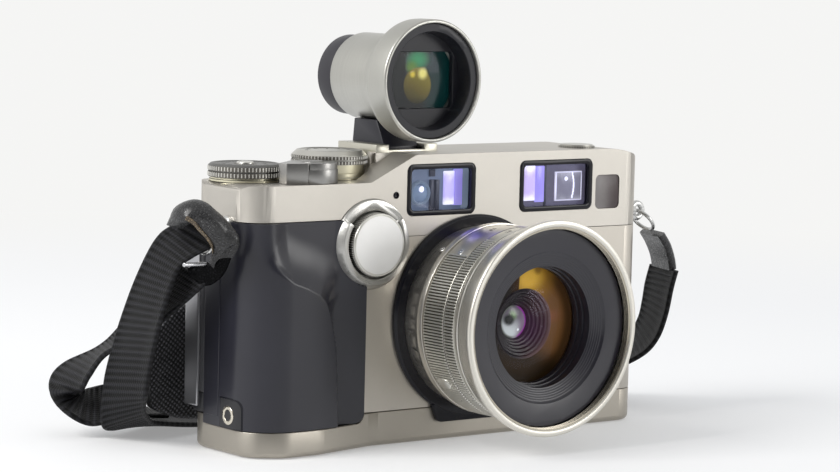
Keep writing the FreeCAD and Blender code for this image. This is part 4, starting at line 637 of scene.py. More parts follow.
CLEAR = Glass("coated_glass", (0.95, 0.95, 0.95), 0.02, "coated_glass", 0.0, (0.75, 0.72, 0.9), 0.16)
PANE = Glass("window_glass", (0.93, 0.94, 0.98), 0.03, "window_glass", 0.02, (0.70, 0.70, 0.90), 0.42)
# Painted reflections inside the lenses, each glowing a little.
AMBER = AmberPaintedReflection("amber_painted_reflection", (0.3, 0.2, 0.05), 0.2, "coated_glass")
PLUM = PlumPaintedReflection("plum_painted_reflection", (0.05, 0.03, 0.04), 0.2, "coated_glass")
PUPIL = PupilPaintedReflection("pupil_painted_reflection", (0.2, 0.2, 0.2), 0.2, "coated_glass")
FINDER_REFLECTION = FinderPaintedReflection("finder_painted_reflection", (0.2, 0.2, 0.05), 0.2, "coated_glass")
NYLON = Webbing("ribbed_nylon", (0.0054, 0.0054, 0.0066), 0.55, "webbing")
HIDE = Leather("keeper_leather", (0.009, 0.009, 0.011), 0.34, "keeper_leather", pebble=1150.0)
# The keeper's lobe takes a darker, duller copy of the leather: painted shade.
SHADED_HIDE = Leather("hide_painted_shade", (0.0028, 0.0028, 0.0036), 0.6, "keeper_leather", pebble=1150.0, gloss=0.06)
RAW_HIDE = Leather("raw_hide", (0.16, 0.115, 0.065), 0.55, "keeper_leather")
PAD_CLOTH = Woven("pad_weave", (0.060, 0.060, 0.068), 0.45, "pad_weave")
INK = Enamel("black_ink", (0.012, 0.012, 0.012), 0.5, "black_metal", coat=0.0)
# The faces behind the windows below glow as painted light, in colours of painted reflections.
BLUE_GREY = Gleam("window_blue", (0.115, 0.150, 0.215), 0.3, "window_glass", (0.075, 0.110, 0.170), 62.0, 79.0, 0.60)
STEEL_BLUE = Gleam("window_steel", (0.165, 0.215, 0.275), 0.3, "window_glass", (0.220, 0.270, 0.330), 64.0, 76.0, 0.55)
DARK_INNER = Gleam("window_dark", (0.030, 0.036, 0.052), 0.35, "black_plastic", (0.022, 0.026, 0.040), 64.0, 76.0, 0.3)
GREY_INNER = Gleam("window_grey", (0.085, 0.075, 0.110), 0.3, "window_glass", (0.105, 0.095, 0.150), 64.0, 76.0, 0.50)
BALL = Gleam("window_ball", (0.20, 0.27, 0.37), 0.12, "window_glass", (0.10, 0.14, 0.20), 66.0, 71.5, 0.5)
VIOLET = Gleam("violet_painted_reflection", (0.33, 0.27, 0.74), 0.15, "window_glass", (0.40, 0.35, 0.84), 65.0, 75.5, 0.70)
LILAC = Gleam("lilac_painted_reflection", (0.50, 0.44, 0.80), 0.15, "window_glass", (0.95, 0.93, 1.0), 65.5, 75.0, 0.95)
PINK = Gleam("pink_painted_reflection", (0.50, 0.40, 0.66), 0.15, "window_glass", (0.92, 0.88, 1.0), 65.5, 75.8, 0.95)
WHITE_GLEAM = Gleam("white_gleam", (0.88, 0.88, 0.97), 0.15, "window_glass", (0.80, 0.80, 0.90), 60.0, 80.0, 0.95)
VIEW_FIELD = Gleam("view_field", (0.200, 0.190, 0.235), 0.15, "window_glass", (0.34, 0.33, 0.37), 65.0, 74.0, 0.6)
SHOE = SatinMetal("shoe_metal", (0.62, 0.60, 0.52), 0.32, "steel", grain=2500.0)
GLINT = Gleam("glint", (0.78, 0.76, 0.86), 0.2, "window_glass", (0.62, 0.60, 0.70), 65.0, 74.0, 0.7)
WHITE_PAPER = Paper("white_paper", (0.96, 0.96, 0.96), 0.9)


# --------------------------------------------------------------------------- mesh making


def shaded(mesh: Mesh, angle: float, flat_from: float = 100.0) -> None:
    """Smooth shading under an angle in degrees, with faces larger than so many square millimetres kept flat."""
    mesh.shade_smooth()
    mesh.set_sharp_from_angle(angle=math.radians(angle))
    for face in mesh.polygons:
        if face.area > flat_from * MM * MM:
            face.use_smooth = False


def linked(name: str, data: Any) -> Item:
    """A new object in the scene."""
    item = bpy.data.objects.new(name, data)
    bpy.context.scene.collection.objects.link(item)
    return item


def baked(holder: Item) -> Mesh:
    """The mesh that an object's curve or modifiers come out as; the object goes."""
    mesh = bpy.data.meshes.new_from_object(holder.evaluated_get(bpy.context.evaluated_depsgraph_get()))
    bpy.data.objects.remove(holder)
    return mesh


def finished(name: str, mesh: Mesh, finish: Finish, body: str = BODY, smooth: float | None = 32.0,
             stands_for: Sequence[str] = ()) -> Item:
    """Makes a piece from a mesh.

    Args:
        name: the piece's name.
        mesh: its mesh, in place, in metres.
        finish: its finish.
        body: the CAD body it rides on.
        smooth: edges flatter than this angle are smooth; None leaves the faces flat.
        stands_for: CAD nodes that it replaces.

    Returns:
        The piece's object, at the origin.
    """
    mesh.name = name
    piece = linked(name, mesh)
    mesh.materials.clear()
    mesh.materials.append(finish.material())
    if smooth is not None:
        shaded(mesh, smooth)
    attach(piece, body)
    if stands_for:
        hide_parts(*stands_for)
    LOG.info("made %s, %d faces", name, len(mesh.polygons))
    return piece


def to_mesh(shape: Shape, outwards: bool = True) -> Mesh:
    """Turns a bmesh into a mesh, with its faces turned outwards or left as they are."""
    if outwards:
        bmesh.ops.recalc_face_normals(shape, faces=shape.faces)
    mesh = bpy.data.meshes.new("shape")
    shape.to_mesh(mesh)
    shape.free()
    return mesh


def rounded(shape: Shape, edges: Sequence[Any], width: float, segments: int = 2, clamp: bool = True) -> None:
    """Rounds edges by a width in the shape's own unit."""
    bmesh.ops.bevel(shape, geom=edges, offset=width, segments=segments, affect="EDGES", profile=0.5,
                    clamp_overlap=clamp)


def lathe(profile: Profile, centre: Vector, axis: Axis = Axis.FRONT, steps: int = 96) -> Mesh:
    """Turns a closed profile of (height along the axis, radius) points in millimetres.

    Args:
        profile: points of (height, radius).
        centre: the axis's start in millimetres.
        axis: the way that height runs.
        steps: segments round.

    Returns:
        The turned mesh in metres.
    """
    shape = bmesh.new()
    rings: list[list[bmesh.types.BMVert]] = []
    for height, radius in profile:
        if radius < 1e-6:
            rings.append([shape.verts.new((0, 0, height))])
            continue
        rings.append([
            shape.verts.new((radius * math.cos(math.tau * k / steps), radius * math.sin(math.tau * k / steps), height))
            for k in range(steps)
        ])
    for first, second in zip(rings, rings[1:] + rings[:1]):
        if len(first) == 1 and len(second) == 1:
            continue
        for k in range(steps):
            j = (k + 1) % steps
            ring = [first[k % len(first)], first[j % len(first)], second[j % len(second)], second[k % len(second)]]
            unique = list(dict.fromkeys(ring))
            if len(unique) > 2:
                shape.faces.new(unique)
    shape.transform(Matrix.Translation(centre * MM) @ axis.value @ Matrix.Scale(MM, 4))
    return to_mesh(shape)


def block(low: Point, high: Point, bevel: float = 0.15, turn: Matrix | None = None) -> Mesh:
    """A block between two corners in millimetres, with rounded edges and an optional turn about its middle."""
    shape = bmesh.new()
    bmesh.ops.create_cube(shape, size=1.0)
    size = Vector(high) - Vector(low)
    middle = (Vector(high) + Vector(low)) / 2
    bmesh.ops.scale(shape, vec=size, verts=shape.verts)
    rounded(shape, shape.edges[:], min(bevel, min(size) * 0.45), clamp=False)
    shape.transform(Matrix.Scale(MM, 4) @ Matrix.Translation(middle) @ (turn or Matrix.Identity(4)))
    return to_mesh(shape)


def joined(meshes: Sequence[Mesh]) -> Mesh:
    """One mesh from several."""
    shape = bmesh.new()
    for mesh in meshes:
        shape.from_mesh(mesh)
        bpy.data.meshes.remove(mesh)
    return to_mesh(shape, False)


def softened(node: Item, width: float, big: Rounding | None = None, shaper: Shaper | None = None,
             angle: float = 28.0) -> Mesh:
    """A merged copy of a CAD node's mesh with its sharp edges rounded.

    Args:
        node: the CAD node.
        width: the rounding in millimetres.
        big: gives a larger rounding in millimetres for an edge by its middle and direction, or 0.
        shaper: changes the merged shape before its edges are rounded.
        angle: edges sharper than this many degrees are rounded.

    Returns:
        The new mesh.
    """
    shape = bmesh.new()
    shape.from_mesh(node.data)
    bmesh.ops.remove_doubles(shape, verts=shape.verts, dist=3e-6)
    if shaper is not None:
        shaper(shape)
    bmesh.ops.dissolve_limit(shape, angle_limit=math.radians(0.8), verts=shape.verts, edges=shape.edges)

    def sharp() -> list[bmesh.types.BMEdge]:
        """The edges that stand out by more than the angle."""
        return [e for e in shape.edges if len(e.link_faces) == 2 and e.calc_face_angle(0.0) > math.radians(angle)
                and e.is_convex]

    if big is not None:
        groups: dict[float, list[bmesh.types.BMEdge]] = {}
        for edge in sharp():
            a, b = edge.verts
            size = big((a.co + b.co) / 2 / MM, (b.co - a.co).normalized())
            if size > 0:
                groups.setdefault(size, []).append(edge)
        for size, edges in groups.items():
            rounded(shape, edges, size * MM, 4)
    rounded(shape, sharp(), width * MM)
    return to_mesh(shape, False)


def ridge(width: float, depth: float, length: float, lean: float = 0.18) -> Mesh:
    """One knurl ridge in millimetres: it stands out along X and runs up Z, with leaning sides and ends."""
    shape = bmesh.new()
    foot, top = width / 2, width / 2 * 0.45
    corners = [(-0.05, -foot, 0.0), (-0.05, foot, 0.0), (-0.05, foot, length), (-0.05, -foot, length),
               (depth, -top, lean), (depth, top, lean), (depth, top, length - lean), (depth, -top, length - lean)]
    verts = [shape.verts.new(Vector(corner) * MM) for corner in corners]
    for face in ((4, 5, 6, 7), (0, 1, 5, 4), (1, 2, 6, 5), (2, 3, 7, 6), (3, 0, 4, 7), (3, 2, 1, 0)):
        shape.faces.new([verts[k] for k in face])
    return to_mesh(shape)


def lettering(words: str, size: float, place: Matrix) -> Mesh:
    """Generic figures as a thin raised mesh, of a height in millimetres, put in place by a matrix in metres."""
    curve = bpy.data.curves.new("figures", "FONT")
    curve.body = words
    curve.size = size * MM
    curve.align_x = "CENTER"
    curve.align_y = "CENTER"
    curve.extrude = 0.012 * MM
    curve.resolution_u = 2
    mesh = baked(linked("figures", curve))
    mesh.transform(place)
    return mesh


class ArcArray:
    """A Geometry Nodes tree that repeats a template round an arc and sets its finish."""

    INPUTS = (("Count", "NodeSocketInt"), ("Radius", "NodeSocketFloat"), ("Start", "NodeSocketFloat"),
              ("Step", "NodeSocketFloat"), ("Finish", "NodeSocketMaterial"))

    def __init__(self) -> None:
        """Builds the tree once, with named inputs for its sizes."""
        tree = bpy.data.node_groups.new("arc_array", "GeometryNodeTree")
        face = tree.interface
        face.new_socket(name="Geometry", in_out="OUTPUT", socket_type="NodeSocketGeometry")
        face.new_socket(name="Geometry", in_out="INPUT", socket_type="NodeSocketGeometry")
        self.keys = {name: face.new_socket(name=name, in_out="INPUT", socket_type=kind).identifier
                     for name, kind in self.INPUTS}
        self.tree = tree
        given = tree.nodes.new("NodeGroupInput").outputs
        points = self._node("GeometryNodePoints", {"Count": given["Count"]})
        index = self._node("GeometryNodeInputIndex", {}).outputs[0]
        turn = self._maths("MULTIPLY_ADD", index, given["Step"], given["Start"])
        x = self._maths("MULTIPLY", self._maths("COSINE", turn), given["Radius"])
        y = self._maths("MULTIPLY", self._maths("SINE", turn), given["Radius"])
        place = self._node("ShaderNodeCombineXYZ", {"X": x, "Y": y}).outputs[0]
        put = self._node("GeometryNodeSetPosition", {"Geometry": points.outputs[0], "Position": place}).outputs[0]
        spin = self._node("ShaderNodeCombineXYZ", {"Z": turn}).outputs[0]
        copies = self._node("GeometryNodeInstanceOnPoints",
                            {"Points": put, "Instance": given["Geometry"], "Rotation": spin}).outputs[0]
        real = self._node("GeometryNodeRealizeInstances", {"Geometry": copies}).outputs[0]
        painted = self._node("GeometryNodeSetMaterial", {"Geometry": real, "Material": given["Finish"]}).outputs[0]
        tree.links.new(painted, tree.nodes.new("NodeGroupOutput").inputs[0])

    def _node(self, kind: str, links: dict[Any, Any], **settings: Any) -> bpy.types.Node:
        """Adds one node with its links."""
        node = self.tree.nodes.new(kind)
        for key, setting in settings.items():
            setattr(node, key, setting)
        for key, source in links.items():
            self.tree.links.new(source, node.inputs[key])
        return node

    def _maths(self, operation: str, *terms: Any) -> bpy.types.NodeSocket:
        """Adds one Math node."""
        return self._node("ShaderNodeMath", dict(enumerate(terms)), operation=operation).outputs[0]

    def make(self, template: Mesh, finish: Finish, count: int, radius: float = 0.0, start: float = 0.0,
             step: float | None = None, place: Vector = Vector((0, 0, 0)), axis: Axis = Axis.UP) -> Mesh:
        """Repeats a template mesh.

        Args:
            template: the mesh to repeat, about its own origin, in metres.
            finish: the finish of every copy.
            count: how many.
            radius: distance from the axis in millimetres.
            start: the first copy's angle in degrees.
            step: degrees from one to the next; None spreads them round a full turn.
            place: where the array's centre goes, in millimetres.
            axis: the way that the array's axis points.

        Returns:
            The copies as one plain mesh.
        """
        holder = linked("array", template)
        modifier = holder.modifiers.new("array", "NODES")
        modifier.node_group = self.tree
        turn = 360.0 / count if step is None else step
        values = {"Count": count, "Radius": radius * MM, "Start": math.radians(start), "Step": math.radians(turn),
                  "Finish": finish.material()}
        for key, value in values.items():
            modifier[self.keys[key]] = value
        mesh = baked(holder)
        mesh.transform(Matrix.Translation(place * MM) @ axis.value)
        return mesh


# --------------------------------------------------------------------------- bands of strap


@dataclass(frozen=True)
class Station:
    """One place on a band: its two edges in millimetres and the way its face looks."""

    left: Point
    right: Point
    face: Point


def glide(values: Sequence[Vector], place: float) -> Vector:
    """A smooth value between listed ones, at a place counted in stations."""
    last = len(values) - 1
    index = min(int(place), last - 1)
    share = place - index
    before, start, end, after = (values[max(index - 1, 0)], values[index], values[index + 1],
                                 values[min(index + 2, last)])
    square, cube = share * share, share ** 3
    return 0.5 * (2 * start + (end - before) * share + (2 * before - 5 * start + 4 * end - after) * square
                  + (3 * start - before - 3 * end + after) * cube)


@dataclass(frozen=True)
class Band:
    """A flat band along stations, with rounded edges and a ribbed or domed face."""

    stations: Sequence[Station]
    thick: float = 1.5
    rib_pitch: float = 2.0
    rib_depth: float = 0.36
    hem: float = 1.6
    fine: float = 0.4
    dome: float = 0.0

    def route(self) -> list[tuple[float, Vector, Vector, Vector, float]]:
        """Even steps along the band: the way run, the middle, the width's and the face's direction, the width."""
        lefts, rights = [Vector(s.left) for s in self.stations], [Vector(s.right) for s in self.stations]
        middles = [(left + right) / 2 for left, right in zip(lefts, rights)]
        wides = [right - left for left, right in zip(lefts, rights)]
        faces = [Vector(s.face).normalized() for s in self.stations]
        last, between, reach = len(middles) - 1, 40, 0.02
        count = last * between
        dense = [glide(middles, k * last / count) for k in range(count + 1)]
        run = [0.0]
        for first, second in zip(dense, dense[1:]):
            run.append(run[-1] + (second - first).length)
        steps = max(4, int(run[-1] / self.fine))
        route = []
        k = 0
        for index in range(steps + 1):
            want = run[-1] * index / steps
            while k < count - 1 and run[k + 1] < want:
                k += 1
            part = (want - run[k]) / max(run[k + 1] - run[k], 1e-9)
            place = (k + min(part, 1.0)) * last / count
            middle = glide(middles, place)
            ahead = glide(middles, min(place + reach, last)) - glide(middles, max(place - reach, 0))
            wide = glide(wides, place)
            normal = wide.cross(ahead).normalized()
            normal = normal if normal.dot(glide(faces, place)) > 0 else -normal
            route.append((want, middle, wide.normalized(), normal, wide.length))
        return route

    def section(self, run: float, width: float) -> list[tuple[float, float]]:
        """The cross-section as (across, out) points in millimetres, with its ribs at this place."""
        half = width / 2
        wave = 0.5 - 0.5 * math.cos(math.tau * run / self.rib_pitch)
        top = self.thick / 2
        low = top - self.rib_depth * wave
        edge = top * 0.8
        body = half - self.hem
        upper = [(-half + 0.15, edge * 0.75), (-half + 0.6, top), (-body - 0.3, top), (-body + 0.1, low),
                 (-body * 0.5, low), (0.0, low), (body * 0.5, low), (body - 0.1, low), (body + 0.3, top),
                 (half - 0.6, top), (half - 0.15, edge * 0.75)]
        if width < 4.0 * self.hem:
            upper = [(half * part, top * (1.0 - 0.25 * part ** 6)) for part in (k / 5 - 1.0 for k in range(11))]
        lower = [(across, -out) for across, out in reversed(upper)]
        flat = [(-half, 0.0), *upper, (half, 0.0), *lower]
        return [(across, out + self.dome * (1.0 - (across / half) ** 2)) for across, out in flat]

    def mesh(self) -> Mesh:
        """The band's mesh in metres, with a map in metres: U along and V across."""
        shape = bmesh.new()
        layer = shape.loops.layers.uv.new("band")
        rings: list[list[bmesh.types.BMVert]] = []
        marks: list[tuple[float, list[float]]] = []
        for run, middle, wide, face, width in self.route():
            section = self.section(run, width)
            rings.append([shape.verts.new((middle + wide * a + face * o) * MM) for a, o in section])
            marks.append((run * MM, [a * MM for a, _ in section]))
        count = len(rings[0])
        for index in range(len(rings) - 1):
            for k in range(count):
                j = (k + 1) % count
                quad = shape.faces.new((rings[index][k], rings[index][j], rings[index + 1][j], rings[index + 1][k]))
                for loop, (at, side) in zip(quad.loops, ((index, k), (index, j), (index + 1, j), (index + 1, k))):
                    loop[layer].uv = (marks[at][0], marks[at][1][side])
        for ring in (rings[0], rings[-1]):
            shape.faces.new(ring)
        return to_mesh(shape)


def stations(rows: Sequence[tuple[Point, Point, Point]], width: float = 20.0) -> list[Station]:
    """Stations of one width from rows of the middle, the way across and the way the face looks."""
    made = []
    for middle, across, face in rows:
        half = Vector(across).normalized() * width / 2
        made.append(Station(tuple(Vector(middle) - half), tuple(Vector(middle) + half), face))
    return made


def edged(rows: Sequence[tuple[Point, Point, Point]]) -> list[Station]:
    """Stations from rows of the left edge, the right edge and the way the face looks."""
    return [Station(*row) for row in rows]


# --------------------------------------------------------------------------- sub-assemblies


@dataclass
class Covers:
    """The metal covers, the inner body and the back door."""

    nodes: dict[str, Item]
    top_edge: float = 1.1
    smooth: float = 38.0

    def soften(self, node: str, finish: Finish, width: float, big: Rounding | None = None,
               shaper: Shaper | None = None) -> None:
        """Replaces a CAD node by a copy with rounded edges."""
        source = self.nodes[node]
        mesh = softened(source, width, big, shaper)
        finished(f"{node}_finished", mesh, finish, source["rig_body"], self.smooth, (node,))

    def carry(self, finish: Finish, *nodes: str) -> None:
        """Gives CAD nodes their finish."""
        for node in nodes:
            piece = self.nodes[node]
            piece.data.materials.clear()
            piece.data.materials.append(finish.material())
            LOG.info("dressed %s", node)

    def top_rounding(self, place: Vector, along: Vector) -> float:
        """The larger rounding of the top cover's outer top edges."""
        low_top, high_top, near = 72.0, 77.8, 0.3
        if abs(place.y - FRONT_Y) < near and place.z > low_top and abs(along.y) < near:
            at_window = -18.5 < place.x < 6.6 or 21.5 < place.x < 49.6 or 50.0 < place.x < 60.0
            return 0.0 if at_window and place.z < high_top else self.top_edge
        return 0.0

    @staticmethod
    def shoulder(shape: Shape) -> None:
        """Lets the raised top fall away softly towards its right end."""
        start, foot, width, height, fall = 54.6, 73.2, 12.4, 4.2, 2.3
        for step in range(8):
            bmesh.ops.bisect_plane(shape, geom=[*shape.verts, *shape.edges, *shape.faces], dist=1e-6,
                                   plane_co=((start + step * 1.5) * MM, 0.0, 0.0), plane_no=(1.0, 0.0, 0.0))
        for vert in shape.verts:
            x, z = vert.co.x / MM, vert.co.z / MM
            share = clamped((z - foot) / height)
            if x > start and share > 0.0:
                vert.co.z -= fall * ((x - start) / width) ** 2 * smooth_step(share) * MM

    def build(self) -> None:
        """Makes the covers."""
        self.soften("top_cover", COVER, 0.2, self.top_rounding, self.shoulder)
        # Darker copies of the cover metal on the front and the tray: painted shade.
        self.soften("front_cover", SHADED_FRONT_METAL, 0.12)
        self.soften("bottom_cover", SHADED_TRAY_METAL, 0.2)
        self.soften("back_door", DOOR_SKIN, 0.3)
        self.carry(CASTING, "chassis", "take_up_housing")
        self.carry(STEEL, "hinge_pin", "rewind_fork", "tripod_bush")
        self.carry(PANE, "film_window")
        self.carry(BLADE, "pressure_plate", "shutter_frame", "shutter_blade_1", "shutter_blade_2")
        self.carry(BLACK_PLASTIC, "take_up_spool", "finder_optics")
        self.carry(COVER, "battery_cap")
        self.carry(CELL, "batteries")


@dataclass
class Grip:
    """The moulded grip: one skin round the corner with a palm swell, a finger hollow and a flat strip."""

    side_x: float = -70.1
    right_x: float = -32.4
    rear_y: float = 4.0
    low_z: float = 7.2
    high_z: float = 62.8
    flat_y: float = -18.4
    swell_y: float = -21.3
    turn_y: float = -9.5
    corner: float = 2.8
    wall: float = 1.4
    seat: float = 11.8
    edge_line: tuple[tuple[float, float], ...] = ((-74.5, 68.0), (-72.6, 60.5), (-70.3, 55.2), (-67.4, 51.3),
                                                  (-62.8, 48.9), (-58.9, 47.0), (-53.9, 45.2), (-49.9, 43.3),
                                                  (-47.4, 40.4), (-45.6, 35.9), (-44.1, 29.6), (-43.4, 21.1),
                                                  (-42.9, 12.9), (-42.5, -10.0))
    columns: int = 190
    rows: int = 150

    def swell(self, x: float) -> float:
        """The swell's front, by x."""
        share = (x + 55.0) / 14.0
        return self.swell_y + (1.1 * share * share if share > 0 else 0.7 * (share * 14.0 / 12.0) ** 2)

    def front(self, x: float, z: float) -> float:
        """The front surface's y: the swell, and over its edge a long scoop above and a short step at the right."""
        best, sign, across = 1e9, 1.0, 0.0
        for (ax, az), (bx, bz) in zip(self.edge_line, self.edge_line[1:]):
            dx, dz = bx - ax, bz - az
            t = clamped(((x - ax) * dx + (z - az) * dz) / (dx * dx + dz * dz))
            gap = math.hypot(x - ax - t * dx, z - az - t * dz)
            if gap < best - 1e-9:
                best, across = gap, ax + t * dx
                sign = -1.0 if dx * (z - az) - dz * (x - ax) > 0 else 1.0
        y = self.swell(x)
        if sign < 0:
            long, short = 13.0, 1.6
            reach = long + (short - long) * smooth_step(clamped((across + 50.0) / 5.5))
            early = clamped((-58.0 - across) / 11.0)
            drop = max(1.0 - best / reach, 0.0) ** 2
            crisp = min(best / (0.9 + 4.5 * early), 1.0)
            begun = clamped((x + 68.0) / 10.0)
            flat = self.flat_y + min(0.14 * max(self.right_x - x, 0.0), 1.4)
            scoop = flat + (self.swell(across) - flat) * drop
            y += (scoop - y) * smooth_step(crisp) * smooth_step(begun)
        corner = clamped((-58.5 - x) / 11.6)
        return y + (1 - math.sqrt(max(1 - corner * corner, 0.0))) * (self.turn_y - y) * 0.98

    def path(self, share: float, z: float) -> tuple[float, float]:
        """A place on the skin's outline at a height: from the rear of the side round to the right edge."""
        side = 0.22
        if share < side:
            return self.side_x, self.rear_y + (self.turn_y - self.rear_y) * share / side
        eased = ((share - side) / (1.0 - side)) ** 1.35
        low = min(max(self.low_z + self.corner - z, 0.0), self.corner)
        inset = self.corner - math.sqrt(self.corner ** 2 - low ** 2)
        x = self.side_x + (self.right_x - self.side_x) * eased - inset * max(eased * 5.0 - 4.0, 0.0)
        return x, self.front(x, z)

    def plate(self, first: float, last: float, low: float, high: float, out: float) -> Mesh:
        """A thin plate that lies on the skin between two shares of its outline, with a round upper right corner."""
        shape = bmesh.new()
        steps, thick, round_by, cut = 28, 0.6, 2.6, 0.045
        skins = []
        for lift in (out, out - thick):
            rows = []
            for row in range(steps + 1):
                z = low + (high - low) * row / steps
                round_part = max((z - high) / round_by + 1.0, 0.0)
                end = last - (1.0 - math.sqrt(max(1.0 - round_part ** 2, 0.0))) * cut
                ring = []
                for k in range(steps + 1):
                    share = first + (end - first) * k / steps
                    here, ahead = Vector(self.path(share, z)), Vector(self.path(share + 0.01, z))
                    way = (ahead - here).normalized()
                    lifted = here + Vector((way.y, -way.x)) * lift
                    ring.append(shape.verts.new(Vector((*lifted, z)) * MM))
                rows.append(ring)
            skins.append(rows)
        for rows in skins:
            for lower, upper in zip(rows, rows[1:]):
                for k in range(steps):
                    shape.faces.new((lower[k], lower[k + 1], upper[k + 1], upper[k]))
        outer, inner = skins
        sides = [[(outer[r][k], inner[r][k]) for r in range(steps + 1)] for k in (0, -1)]
        for pairs in (*sides, list(zip(outer[0], inner[0])), list(zip(outer[-1], inner[-1]))):
            for (a, b), (c, d) in zip(pairs, pairs[1:]):
                shape.faces.new((a, b, d, c))
        return to_mesh(shape)

    def build(self) -> None:
        """Makes the skin as a closed shell, with the focus dial's seat cut out."""
        shape = bmesh.new()
        grid = []
        for row in range(self.rows + 1):
            z = self.low_z + (self.high_z - self.low_z) * row / self.rows
            grid.append([shape.verts.new(Vector((*self.path(c / self.columns, z), z)) * MM)
                         for c in range(self.columns + 1)])
        for row in range(self.rows):
            for c in range(self.columns):
                quad = [grid[row][c], grid[row][c + 1], grid[row + 1][c + 1], grid[row + 1][c]]
                middle = sum((v.co for v in quad), Vector()) / 4 / MM
                if math.hypot(middle.x - FOCUS_DIAL.x, middle.z - FOCUS_DIAL.z) >= self.seat:
                    shape.faces.new(quad)
        loose = [v for v in shape.verts if not v.link_faces]
        bmesh.ops.delete(shape, geom=loose, context="VERTS")
        bmesh.ops.recalc_face_normals(shape, faces=shape.faces)
        front = [f for f in shape.faces if f.calc_center_median().y < -16.0 * MM and abs(f.normal.y) > 0.5]
        if sum(f.normal.y for f in front) > 0:
            bmesh.ops.reverse_faces(shape, faces=shape.faces)
        holder = linked("grip_sheet", to_mesh(shape, False))
        wall = holder.modifiers.new("wall", "SOLIDIFY")
        wall.thickness = self.wall * MM
        wall.offset = -1.0
        finished("grip_skin", baked(holder), GRIP_SKIN, smooth=50.0, stands_for=("grip",))
        panel = block((-70.25, -3.2, 9.8), (-68.9, 3.95, 57.4), 0.2)
        finished("side_panel", panel, GRIP_SKIN)
        finished("socket_gap", self.plate(0.130, 0.268, 7.3, 15.5, 0.05), BLACK_GLOSS)
        finished("socket_plate", self.plate(0.136, 0.260, 7.4, 15.1, 0.14), BLACK_PLASTIC)
        edge = block((-69.85, 7.6, 11.0), (-68.6, 14.2, 56.6), 0.5)
        finished("door_edge", edge, DOOR_EDGE, "back_door")


@dataclass(frozen=True)
class DialRows:
    """The knurled rows of one dial: where they are and how fine."""

    node: str
    centre: Vector
    radius: float
    rows: tuple[tuple[float, float], ...]
    count: int
    depth: float = 0.22
    width: float = 0.50
    axis: Axis = Axis.UP


